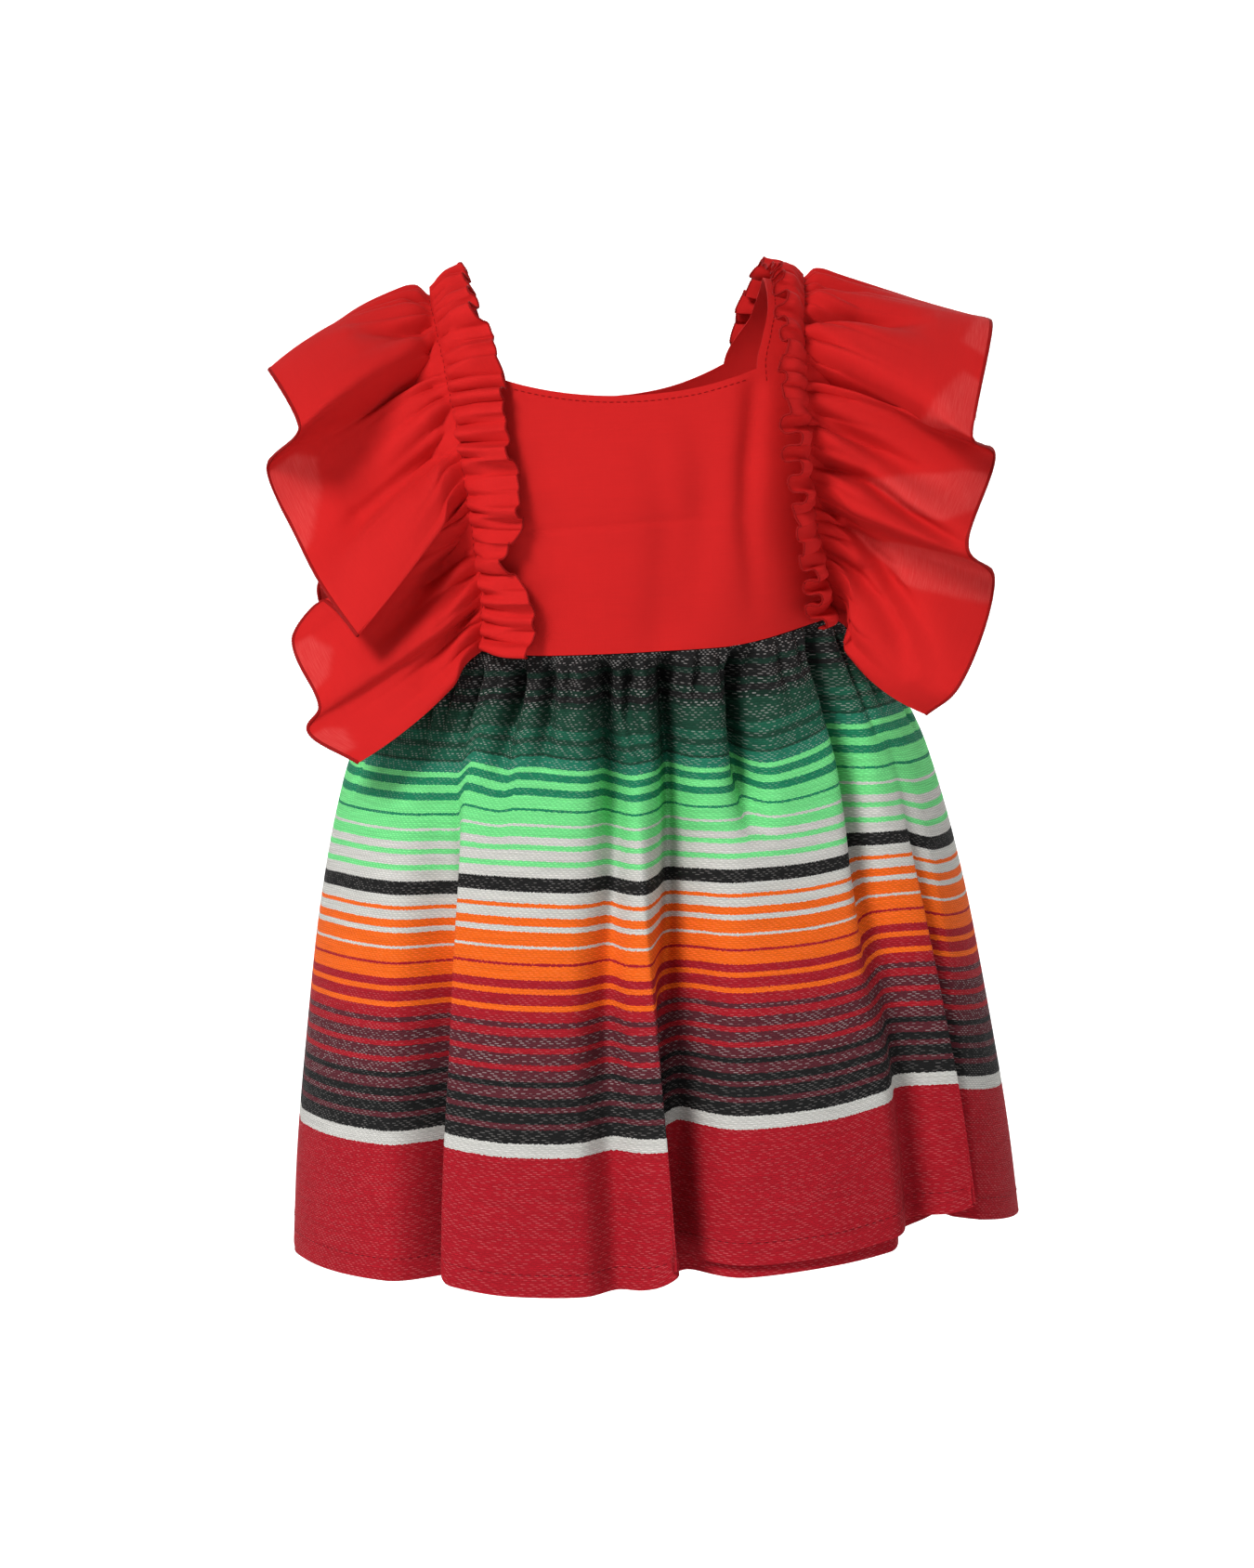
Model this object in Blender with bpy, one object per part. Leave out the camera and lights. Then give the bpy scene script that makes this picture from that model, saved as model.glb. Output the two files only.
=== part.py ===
"""Child's dress: a fitted bodice, gathered shoulder ruffles and a gathered skirt.

The dress is filled out as if worn. The front faces -Y, +X is on the right of a person
who looks at the front, and the origin lies midway between the tops of the two shoulders.
All sizes are in metres.
"""
import math
from collections import namedtuple

import bmesh
import bpy
import numpy as np

# Cloth and seams
SEAM_GAP = 0.0003
BODICE_WALL = 0.0013
SKIRT_WALL = 0.0016
RUFFLE_WALL = 0.0010

# Bodice, from the waist seam in front, over the shoulder, to the waist seam behind.
# "path" is the distance along the cloth from the shoulder seam, negative in front.
# "depth" is how far the middle of the body stands forward (-) or back (+).
# "squareness" is 2 for an ellipse and more for a boxier section.
Level = namedtuple("Level", "path z half_width depth squareness")
BODICE = (
    Level(-0.2095, -0.1684, 0.1055, -0.0800, 2.2),
    Level(-0.1745, -0.1336, 0.1060, -0.0820, 2.3),
    Level(-0.1390, -0.0980, 0.1060, -0.0815, 2.5),
    Level(-0.1095, -0.0690, 0.1065, -0.0765, 2.7),
    Level(-0.0825, -0.0440, 0.1080, -0.0660, 3.0),
    Level(-0.0560, -0.0225, 0.1100, -0.0500, 3.4),
    Level(-0.0290, -0.0075, 0.1120, -0.0280, 3.8),
    Level(0.0000, -0.0010, 0.1120, 0.0000, 4.0),
    Level(0.0290, -0.0075, 0.1120, 0.0280, 3.8),
    Level(0.0560, -0.0225, 0.1100, 0.0510, 3.4),
    Level(0.0825, -0.0440, 0.1080, 0.0670, 3.0),
    Level(0.1095, -0.0690, 0.1065, 0.0745, 2.7),
    Level(0.1390, -0.0980, 0.1060, 0.0780, 2.5),
    Level(0.1745, -0.1336, 0.1060, 0.0785, 2.3),
    Level(0.2095, -0.1684, 0.1055, 0.0760, 2.2),
)
WAIST = 0.2095

# Edges of the bodice. "neck_x" is the inner edge of a strap, and below the neckline it is
# only a guide. "edge" is the angle round the body, in degrees, of the armhole's edge, and
# 90 is the side seam.
Edge = namedtuple("Edge", "path neck_x edge")
FRONT_EDGES = (
    Edge(-0.2095, 0.0600, 90.0),
    Edge(-0.156, 0.0600, 90.0),
    Edge(-0.151, 0.0600, 76.0),
    Edge(-0.141, 0.0600, 68.0),
    Edge(-0.126, 0.0600, 63.0),
    Edge(-0.108, 0.0595, 60.0),
    Edge(-0.078, 0.0590, 58.5),
    Edge(-0.060, 0.0635, 59.0),
    Edge(-0.040, 0.0680, 59.5),
    Edge(0.000, 0.0705, 61.0),
)
BACK_EDGES = (
    Edge(0.000, 0.0705, 61.0),
    Edge(0.030, 0.0715, 60.5),
    Edge(0.056, 0.0690, 60.0),
    Edge(0.083, 0.0570, 60.0),
    Edge(0.108, 0.0540, 61.5),
    Edge(0.126, 0.0540, 64.0),
    Edge(0.141, 0.0540, 69.0),
    Edge(0.151, 0.0540, 77.0),
    Edge(0.156, 0.0540, 90.0),
    Edge(0.2095, 0.0540, 90.0),
)
SHOULDER_SLOPE = 0.24
SHOULDER_SLOPE_FROM = 0.066
SHOULDER_SLOPE_REACH = 0.110
FRONT_NECK_CORNER = -0.078
FRONT_NECK_DIP = 0.0105
BACK_NECK_CORNER = 0.086
BACK_NECK_DIP = 0.0158

# Rows of the bodice's mesh, as distances along the cloth, and its columns
BODY_ROWS = (0.2095, 0.183, 0.166, 0.156, 0.151, 0.141, 0.126, 0.114, 0.101, 0.092)
STRAP_ROWS = (0.068, 0.056, 0.045, 0.036, 0.028, 0.020, 0.012, 0.005, 0.0)
SIDE_COLUMNS = 5
MIDDLE_COLUMNS = 10

# Back opening, the right half laid over the left one, with a row of buttons
OVERLAP_HALF = 0.010
OVERLAP_RAMP = 0.024
OVERLAP_STEP = BODICE_WALL + SEAM_GAP
BUTTON_RADIUS = 0.0055
BUTTON_THICK = 0.0022
BUTTON_BEVEL = 0.0006
BUTTON_SIDES = 20
BUTTON_HEIGHTS = (-0.074, -0.100, -0.126, -0.152)

# Skirt, by the distance down the cloth from the waist seam
Drop = namedtuple("Drop", "down z half_width front back")
SKIRT = (
    Drop(0.000, -0.1687, 0.1055, 0.0800, 0.0760),
    Drop(0.012, -0.1798, 0.1105, 0.0835, 0.0800),
    Drop(0.035, -0.2010, 0.1240, 0.0885, 0.0870),
    Drop(0.069, -0.2315, 0.1395, 0.0935, 0.0935),
    Drop(0.134, -0.2945, 0.1550, 0.1050, 0.1050),
    Drop(0.190, -0.3490, 0.1635, 0.1155, 0.1155),
    Drop(0.262, -0.4190, 0.1725, 0.1250, 0.1250),
    Drop(0.304, -0.4605, 0.1760, 0.1305, 0.1305),
)
SKIRT_LENGTH = 0.304
SKIRT_SQUARENESS = 2.15
SKIRT_ROWS = (0.0, 0.007, 0.022, 0.048, 0.090, 0.150, 0.225, 0.304)
GATHERS = 22
GATHER_COLUMNS = 4
GATHER_DEPTH = 0.0030
GATHER_FADE = 0.060
GATHER_FLATTENED = 0.35
GATHER_FREE_AFTER = 0.008

# Large folds of the skirt at its hem, from the left seam to the right one. "share" is the
# place on the cloth, "angle" the place round the body in degrees, "height" how far the
# cloth stands out or in, "start" how far down it begins and "lift" how much higher it hangs.
Roll = namedtuple("Roll", "share angle height start lift")
ROLLS = (
    Roll(0.000, -90.0, 0.000, 0.10, 0.001),
    Roll(0.073, -74.0, 0.003, 0.20, 0.004),
    Roll(0.191, -48.0, 0.006, 0.20, 0.004),
    Roll(0.264, -36.0, -0.009, 0.12, 0.003),
    Roll(0.296, -36.3, 0.006, 0.12, 0.006),
    Roll(0.354, -26.0, 0.012, 0.20, 0.001),
    Roll(0.410, -13.5, 0.010, 0.15, 0.000),
    Roll(0.424, -11.5, 0.004, 0.12, 0.000),
    Roll(0.453, -5.0, 0.010, 0.12, 0.000),
    Roll(0.474, -1.5, 0.007, 0.08, 0.001),
    Roll(0.504, 0.0, -0.014, 0.06, 0.003),
    Roll(0.536, 0.8, 0.005, 0.08, 0.010),
    Roll(0.577, 9.0, 0.012, 0.20, 0.0085),
    Roll(0.650, 24.5, 0.010, 0.25, 0.009),
    Roll(0.686, 31.5, -0.004, 0.25, 0.010),
    Roll(0.706, 31.5, 0.006, 0.25, 0.011),
    Roll(0.734, 38.0, 0.007, 0.25, 0.014),
    Roll(0.770, 45.0, -0.004, 0.25, 0.017),
    Roll(0.790, 45.5, 0.005, 0.25, 0.018),
    Roll(0.823, 52.5, -0.006, 0.20, 0.014),
    Roll(0.855, 57.0, 0.004, 0.20, 0.011),
    Roll(0.920, 72.0, 0.002, 0.20, 0.005),
    Roll(1.000, 90.0, 0.000, 0.10, 0.001),
)

# Line that each ruffle is sewn on along, by the path over the shoulder, for both sides
Stitch = namedtuple("Stitch", "path left_x right_x")
STITCHES = (
    Stitch(-0.210, 0.0745, 0.0900),
    Stitch(-0.180, 0.0735, 0.0850),
    Stitch(-0.155, 0.0765, 0.0820),
    Stitch(-0.125, 0.0790, 0.0800),
    Stitch(-0.095, 0.0825, 0.0805),
    Stitch(-0.055, 0.0870, 0.0830),
    Stitch(-0.020, 0.0890, 0.0870),
    Stitch(0.020, 0.0870, 0.0890),
    Stitch(0.055, 0.0835, 0.0870),
    Stitch(0.095, 0.0810, 0.0825),
    Stitch(0.155, 0.0820, 0.0770),
    Stitch(0.210, 0.0880, 0.0755),
)
STRIP_END = 0.2085

# Free edge of each ruffle in front, from the waist up to the shoulder. "share" is the place
# along the strip, "out", "depth" and "z" the place of the edge, and "arch" how far the
# cloth between the stitches and the edge swells. Behind, a ruffle is like the other one's
# front, a little less wide.
Flute = namedtuple("Flute", "share out depth z arch")
FLUTES_LEFT = (
    Flute(0.000, 0.137, -0.070, -0.214, 0.010),
    Flute(0.047, 0.159, -0.052, -0.198, 0.006),
    Flute(0.070, 0.153, -0.078, -0.188, 0.008),
    Flute(0.128, 0.163, -0.045, -0.158, 0.004),
    Flute(0.152, 0.148, -0.047, -0.140, 0.004),
    Flute(0.190, 0.135, -0.085, -0.153, 0.008),
    Flute(0.325, 0.171, -0.040, -0.079, 0.006),
    Flute(0.375, 0.156, -0.072, -0.058, 0.008),
    Flute(0.430, 0.167, -0.022, -0.034, 0.009),
    Flute(0.500, 0.150, 0.006, -0.032, 0.014),
)
FLUTES_RIGHT = (
    Flute(0.000, 0.133, -0.066, -0.206, 0.010),
    Flute(0.040, 0.146, -0.075, -0.194, 0.008),
    Flute(0.125, 0.169, -0.045, -0.146, 0.005),
    Flute(0.180, 0.152, -0.078, -0.128, 0.008),
    Flute(0.271, 0.172, -0.038, -0.089, 0.006),
    Flute(0.329, 0.157, -0.072, -0.077, 0.008),
    Flute(0.440, 0.174, -0.028, -0.027, 0.004),
    Flute(0.500, 0.163, 0.006, -0.024, 0.006),
)
BACK_REACH = 0.90

# Heading, the narrow frill on the neck side of the stitches, by the share along the strip:
# how far towards the neck it reaches, how far its edge stands off the bodice, and how deep
# its waves are
Heading = namedtuple("Heading", "share reach rise wave")
HEADING_LEFT = (
    Heading(0.000, 0.0235, 0.0060, 0.0034),
    Heading(0.060, 0.0245, 0.0060, 0.0036),
    Heading(0.105, 0.0140, 0.0070, 0.0038),
    Heading(0.150, 0.0235, 0.0065, 0.0036),
    Heading(0.250, 0.0245, 0.0065, 0.0036),
    Heading(0.340, 0.0275, 0.0070, 0.0038),
    Heading(0.400, 0.0240, 0.0070, 0.0038),
    Heading(0.450, 0.0200, 0.0085, 0.0036),
    Heading(0.500, 0.0185, 0.0105, 0.0034),
)
HEADING_RIGHT = (
    Heading(0.000, 0.0185, 0.0080, 0.0040),
    Heading(0.100, 0.0195, 0.0100, 0.0044),
    Heading(0.250, 0.0175, 0.0110, 0.0044),
    Heading(0.400, 0.0180, 0.0100, 0.0040),
    Heading(0.470, 0.0175, 0.0030, 0.0018),
    Heading(0.500, 0.0170, 0.0020, 0.0014),
)
HEADING_CURL = 1.2
HEADING_FULL_WAVE = 0.8

# Small waves of the ruffles. They are deepest a little way out from the stitches and die
# away across the wide side, given as shares of its width.
RUFFLE_WAVES = 32
RUFFLE_WAVE_COLUMNS = 4
STITCH_WAVE = 0.0005
FLUTTER_WAVE = 0.0026
FLUTTER_FULL_WAVE = 0.12
FLUTTER_WAVE_FADE = 0.28
FLUTTER_TURN = 0.30
RUFFLE_ROWS = (-1.0, -0.45, 0.0, 0.10, 0.32, 0.64, 1.0)

# Slow swings that make all gathers uneven: how many go round, and how far each one shifts them
SWINGS = ((3, 0.0250), (5, -0.0100), (7, 0.0137))

# Colours, as linear red, green and blue, and roughness
RED_COTTON = ((0.60, 0.020, 0.018), 0.85)
STRIPED_WEAVE = ((0.10, 0.26, 0.12), 0.90)
BUTTON_RED = ((0.45, 0.020, 0.020), 0.40)

# Small steps for slopes, and how far a skirt panel's edge stays inside its share
SAMPLE = 1e-5
ALONG_SAMPLE = 1e-4
EDGE_INSET = 1e-6
SHARP_EDGE = math.radians(50)


def smooth(rows, at, column):
    """A column's value along its table's first column, on a smooth curve through the rows."""
    places = np.array([row[0] for row in rows], dtype=float)
    values = np.array([getattr(row, column) for row in rows], dtype=float)
    rises = np.diff(values) / np.diff(places)
    before, after = rises[:-1], rises[1:]
    same_way = before * after > 0
    slopes = np.empty_like(values)
    slopes[0], slopes[-1] = rises[0], rises[-1]
    slopes[1:-1] = np.where(same_way, 2 * before * after / np.where(same_way, before + after, 1), 0)
    low = np.clip(np.searchsorted(places, at, side="right") - 1, 0, len(places) - 2)
    span = places[low + 1] - places[low]
    t = (at - places[low]) / span
    ends = values[low] * (1 + 2 * t) * (1 - t) ** 2 + values[low + 1] * t * t * (3 - 2 * t)
    return ends + span * (slopes[low] * t * (1 - t) ** 2 - slopes[low + 1] * t * t * (1 - t))


def ease(t):
    """Smooth step from 0 to 1."""
    t = np.clip(t, 0.0, 1.0)
    return t * t * (3 - 2 * t)


def points(x, y, z):
    """Coordinates joined into one array of points."""
    return np.stack(np.broadcast_arrays(x, y, z), axis=-1)


def unit(vectors):
    """Vectors scaled to length 1."""
    return vectors / np.linalg.norm(vectors, axis=-1, keepdims=True)


def normals(surface, across, along):
    """Outward normals of a surface function, from small steps along its two parameters."""
    step_across = surface(across + SAMPLE, along) - surface(across - SAMPLE, along)
    step_along = surface(across, along + SAMPLE) - surface(across, along - SAMPLE)
    return unit(np.cross(step_across, step_along))


def section_fall(angle, squareness):
    """How far a section falls away from its middle, 1 in front and -1 behind."""
    rest = np.clip(1 - np.abs(np.sin(angle)) ** squareness, 0.0, 1.0)
    return np.sign(np.cos(angle)) * rest ** (1 / squareness)


def bodice_surface(angle, path):
    """Outside of the bodice by the angle round the body and the path over the shoulder."""
    half_width = smooth(BODICE, path, "half_width")
    fall = section_fall(angle, smooth(BODICE, path, "squareness"))
    x = half_width * np.sin(angle)
    near_top = 1 - ease(np.abs(path) / SHOULDER_SLOPE_REACH)
    slope = SHOULDER_SLOPE * near_top * np.clip(np.abs(x) - SHOULDER_SLOPE_FROM, 0, None)
    return points(x, smooth(BODICE, path, "depth") * fall, smooth(BODICE, path, "z") - slope)


def bodice_normals(angle, path):
    """Outward normals of the bodice, in front and behind."""
    return normals(bodice_surface, angle, path)


def angle_at(x, path):
    """Angle round the body of a place x metres from the middle."""
    return np.arcsin(x / smooth(BODICE, path, "half_width"))


def gather_wave(share, count):
    """Uneven waves across a gathered edge, still at both ends of each unit of share."""
    turn = 2 * math.pi * share
    shift = sum(size * np.sin(swings * turn) for swings, size in SWINGS)
    return np.sin(count * (turn + shift))


def skirt_surface(share, down):
    """Outside of the skirt. Share runs 0 to 1 over the front and 1 to 2 over the back."""
    share = share + 0 * down
    down = down + 0 * share
    behind = share > 1.0
    place = np.where(behind, share - 1.0, share)
    start = smooth(ROLLS, place, "start")
    grown = ease((down / SKIRT_LENGTH - start) / (1 - start))
    even = np.radians(180.0 * place - 90.0)
    angle = even + grown * (np.radians(smooth(ROLLS, place, "angle")) - even)
    half_width = smooth(SKIRT, down, "half_width")
    depth = np.where(behind, smooth(SKIRT, down, "back"), smooth(SKIRT, down, "front"))
    out = points(depth * np.sin(angle), -half_width * np.cos(angle), 0.0)
    fade = np.exp(-down / GATHER_FADE)
    puff = GATHER_FLATTENED + (1 - GATHER_FLATTENED) * ease(down / GATHER_FREE_AFTER)
    swell = grown * smooth(ROLLS, place, "height")
    swell = swell + GATHER_DEPTH * fade * puff * gather_wave(place, GATHERS)
    base = points(half_width * np.sin(angle), -depth * section_fall(angle, SKIRT_SQUARENESS),
                  smooth(SKIRT, down, "z") + grown * smooth(ROLLS, place, "lift"))
    flat = base + unit(out) * swell[..., None]
    spin = np.where(behind, -1.0, 1.0)
    return flat * points(spin, spin, 1.0)


def ruffle_frame(side, share, inboard=0.0):
    """Point on the stitch line, or towards the neck from it, and the outward direction there."""
    path = (2 * share - 1) * STRIP_END
    stitch_x = smooth(STITCHES, path, "right_x" if side > 0 else "left_x")
    angle = side * angle_at(stitch_x - inboard, path)
    return bodice_surface(angle, path), bodice_normals(angle, path)


def whole_strip(front, back):
    """Rows of a whole ruffle: its own front, then the other ruffle's front behind."""
    rows = list(front)
    for row in reversed(back[:-1]):
        turned = row._replace(share=1.0 - row.share)
        if isinstance(row, Flute):
            turned = turned._replace(out=row.out * BACK_REACH, depth=-row.depth)
        rows.append(turned)
    return tuple(rows)


def ruffle_surface(side):
    """Surface function of one ruffle: share along the strip, across from heading to hem."""
    flutes, headings = (FLUTES_LEFT, FLUTES_RIGHT), (HEADING_LEFT, HEADING_RIGHT)
    flutes = whole_strip(*(flutes if side < 0 else flutes[::-1]))
    headings = whole_strip(*(headings if side < 0 else headings[::-1]))

    def surface(share, across):
        share = share + 0 * across
        across = across + 0 * share
        line, out = ruffle_frame(side, share)
        ahead, _ = ruffle_frame(side, share + ALONG_SAMPLE)
        behind, _ = ruffle_frame(side, share - ALONG_SAMPLE)
        along = unit(ahead - behind)
        clear = SEAM_GAP + RUFFLE_WALL + STITCH_WAVE
        seat = line + out * clear
        wave = gather_wave(2 * share, RUFFLE_WAVES / 2)
        inner = np.clip(-across, 0.0, 1.0)
        outer = np.clip(across, 0.0, 1.0)
        reach, rise, deep = (smooth(headings, share, column) for column in ("reach", "rise", "wave"))
        heading_wave = STITCH_WAVE + (deep - STITCH_WAVE) * ease(inner / HEADING_FULL_WAVE)
        stood = rise * inner ** HEADING_CURL + heading_wave * wave
        under, off = ruffle_frame(side, share, reach * inner)
        frill = under + off * (clear + stood)[..., None]
        out_to, depth, z, arch = (smooth(flutes, share, column)
                                  for column in ("out", "depth", "z", "arch"))
        sweep = points(side * out_to, depth, z) - seat
        face = unit(side * np.cross(sweep, along))
        grown = ease(outer / FLUTTER_FULL_WAVE)
        fade = np.exp(-((outer - FLUTTER_FULL_WAVE).clip(0) / FLUTTER_WAVE_FADE) ** 2)
        flutter_wave = STITCH_WAVE * (1 - grown) + FLUTTER_WAVE * grown * fade
        bulge = arch * 4 * outer * (1 - outer) + flutter_wave * wave
        turned = unit(out + (face - out) * ease(outer / FLUTTER_TURN)[..., None])
        flutter = seat + sweep * outer[..., None] + turned * bulge[..., None]
        return np.where((across < 0)[..., None], frill, flutter)

    return surface


def cloth_wall(name, outside, outward, wall, material, present=None):
    """Closed wall of cloth: outer points, inner points moved in, and rims round every edge."""
    rows, columns = outside.shape[:2]
    inside = outside - outward * wall
    if present is None:
        present = np.ones((rows - 1, columns - 1), dtype=bool)
    shell = bmesh.new()
    corners = [{}, {}]
    for r, c in np.argwhere(present):
        for key in ((r, c), (r, c + 1), (r + 1, c + 1), (r + 1, c)):
            if key not in corners[0]:
                corners[0][key] = shell.verts.new(outside[key])
                corners[1][key] = shell.verts.new(inside[key])
    edges = {}
    for r, c in np.argwhere(present):
        loop = ((r, c), (r, c + 1), (r + 1, c + 1), (r + 1, c))
        shell.faces.new([corners[0][key] for key in loop])
        shell.faces.new([corners[1][key] for key in reversed(loop)])
        for start, end in zip(loop, loop[1:] + loop[:1]):
            if (end, start) in edges:
                del edges[(end, start)]
            else:
                edges[(start, end)] = True
    for start, end in edges:
        shell.faces.new((corners[0][end], corners[0][start], corners[1][start], corners[1][end]))
    bmesh.ops.triangulate(shell, faces=shell.faces[:])
    return finish_object(name, shell, material)


def finish_object(name, shell, material):
    """Turn a bmesh into a smooth-shaded object with a material."""
    bmesh.ops.recalc_face_normals(shell, faces=shell.faces[:])
    mesh = bpy.data.meshes.new(name)
    shell.to_mesh(mesh)
    shell.free()
    mesh.shade_smooth()
    mesh.set_sharp_from_angle(angle=SHARP_EDGE)
    mesh.materials.append(material)
    piece = bpy.data.objects.new(name, mesh)
    bpy.context.scene.collection.objects.link(piece)
    return piece


def make_material(name, finish):
    """Plain shader of one colour and roughness."""
    colour, roughness = finish
    material = bpy.data.materials.new(name)
    material.use_nodes = True
    shader = material.node_tree.nodes["Principled BSDF"]
    shader.inputs["Base Color"].default_value = (*colour, 1.0)
    shader.inputs["Roughness"].default_value = roughness
    shader.inputs["Metallic"].default_value = 0.0
    material.diffuse_color = (*colour, 1.0)
    return material


def panel_grid(edges, corner, dip, span):
    """Angles and paths of a bodice panel, and which of its cells are cloth."""
    sign = 1.0 if corner > 0 else -1.0
    body = [sign * row for row in BODY_ROWS] + [corner]
    strap = [sign * row for row in STRAP_ROWS]
    steps = list(range(span[0], span[1] + 1))
    half = MIDDLE_COLUMNS // 2
    angles, paths = [], []
    for path in body + strap:
        neck = angle_at(smooth(edges, path, "neck_x"), path)
        outer = math.radians(smooth(edges, path, "edge"))
        row_angles, row_paths = [], []
        for k in steps:
            middle = max(-1.0, min(1.0, k / half))
            beyond = max(0.0, (abs(k) - half) / SIDE_COLUMNS)
            size = neck * abs(middle) + (outer - neck) * beyond
            row_angles.append(math.copysign(size, k) if k else 0.0)
            fall = dip * (1 - middle * middle)
            level = path + sign * fall * (WAIST - abs(path)) / (WAIST - abs(corner))
            row_paths.append(level if abs(path) >= abs(corner) else path)
        angles.append(row_angles)
        paths.append(row_paths)
    present = np.ones((len(angles) - 1, len(steps) - 1), dtype=bool)
    for r in range(len(body) - 1, len(angles) - 1):
        for c in range(len(steps) - 1):
            present[r, c] = max(abs(steps[c]), abs(steps[c + 1])) > half
    return np.array(angles), np.array(paths), present


def make_bodice_front(material):
    """Front panel with both straps in one piece."""
    reach = SIDE_COLUMNS + MIDDLE_COLUMNS // 2
    angles, paths, present = panel_grid(FRONT_EDGES, FRONT_NECK_CORNER, FRONT_NECK_DIP, (-reach, reach))
    outward = bodice_normals(angles, paths)
    outside = bodice_surface(angles, paths) - np.array((0, SEAM_GAP / 2, 0))
    return cloth_wall("bodice_front", outside, outward, BODICE_WALL, material, present)


def make_bodice_back(name, side, material):
    """Half of the back. The right half is laid over the left one at the opening."""
    reach = SIDE_COLUMNS + MIDDLE_COLUMNS // 2
    span = (0, reach) if side > 0 else (-reach, 0)
    angles, paths, present = panel_grid(BACK_EDGES, BACK_NECK_CORNER, BACK_NECK_DIP, span)
    opening = 0 if side > 0 else angles.shape[1] - 1
    inner = angle_at(np.full(paths.shape[0], OVERLAP_HALF), paths[:, opening])
    angles[:, opening] = -side * inner
    outward = bodice_normals(angles, paths)
    outside = bodice_surface(angles, paths) + np.array((0, SEAM_GAP / 2, 0))
    if side > 0:
        laid_over = 1 - ease((np.abs(outside[..., 0]) - OVERLAP_HALF) / OVERLAP_RAMP)
        outside = outside + outward * (OVERLAP_STEP * laid_over)[..., None]
    return cloth_wall(name, outside, outward, BODICE_WALL, material, present)


def make_skirt(name, first, material):
    """One skirt panel, from seam to seam, starting at the given share."""
    columns = GATHERS * GATHER_COLUMNS
    share = first + np.linspace(0.0, 1.0, columns + 1)
    share[0] += EDGE_INSET
    share[-1] -= EDGE_INSET
    down = np.array(SKIRT_ROWS)
    shares, downs = np.meshgrid(share, down)
    outside = skirt_surface(shares, downs)
    outward = -normals(skirt_surface, shares, downs)
    shift = SEAM_GAP / 2 * (-1.0 if first < 1 else 1.0)
    outside = outside + np.array((0, shift, 0))
    return cloth_wall(name, outside, outward, SKIRT_WALL, material)


def make_ruffle(name, side, material):
    """One ruffle strip, from the waist in front over the shoulder to the waist behind."""
    columns = RUFFLE_WAVES * RUFFLE_WAVE_COLUMNS
    shares, across = np.meshgrid(np.linspace(0.0, 1.0, columns + 1), np.array(RUFFLE_ROWS))
    surface = ruffle_surface(side)
    outside = surface(shares, across)
    outward = -side * normals(surface, shares, across)
    return cloth_wall(name, outside, outward, RUFFLE_WALL, material)


def make_button(name, z, material):
    """Round button on the outer half of the back, with softened edges."""
    paths = np.linspace(0.0, WAIST, 400)
    path = float(paths[np.argmin(np.abs(smooth(BODICE, paths, "z") - z))])
    middle, path = np.array(0.0), np.array(path)
    out = bodice_normals(middle, path)
    clear = OVERLAP_STEP + SEAM_GAP * 2 + BUTTON_THICK / 2
    centre = bodice_surface(middle, path) + out * clear
    up = np.array((0.0, -out[2], out[1]))
    disc = bmesh.new()
    bmesh.ops.create_cone(disc, cap_ends=True, segments=BUTTON_SIDES, radius1=BUTTON_RADIUS,
                          radius2=BUTTON_RADIUS, depth=BUTTON_THICK)
    rim = [edge for edge in disc.edges if edge.verts[0].co.z * edge.verts[1].co.z > 0]
    bmesh.ops.bevel(disc, geom=rim, offset=BUTTON_BEVEL, segments=1, affect="EDGES")
    for vert in disc.verts:
        vert.co = centre + np.array((vert.co.x, 0, 0)) + up * vert.co.y + out * vert.co.z
    bmesh.ops.triangulate(disc, faces=disc.faces[:])
    return finish_object(name, disc, material)


def main():
    """Clear the scene and build every piece."""
    for old in list(bpy.data.objects):
        bpy.data.objects.remove(old, do_unlink=True)
    red = make_material("red_cotton", RED_COTTON)
    striped = make_material("striped_weave", STRIPED_WEAVE)
    button = make_material("button_red", BUTTON_RED)
    make_bodice_front(red)
    make_bodice_back("bodice_back_left", -1, red)
    make_bodice_back("bodice_back_right", 1, red)
    make_skirt("skirt_front", 0.0, striped)
    make_skirt("skirt_back", 1.0, striped)
    make_ruffle("ruffle_left", -1, red)
    make_ruffle("ruffle_right", 1, red)
    for number, z in enumerate(BUTTON_HEIGHTS, start=1):
        make_button(f"button_{number}", z, button)


main()
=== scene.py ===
import math
from collections import namedtuple

import bpy
import numpy as np
from bpy.props import FloatProperty, FloatVectorProperty, IntProperty, PointerProperty
from mathutils import Matrix, Vector


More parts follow.
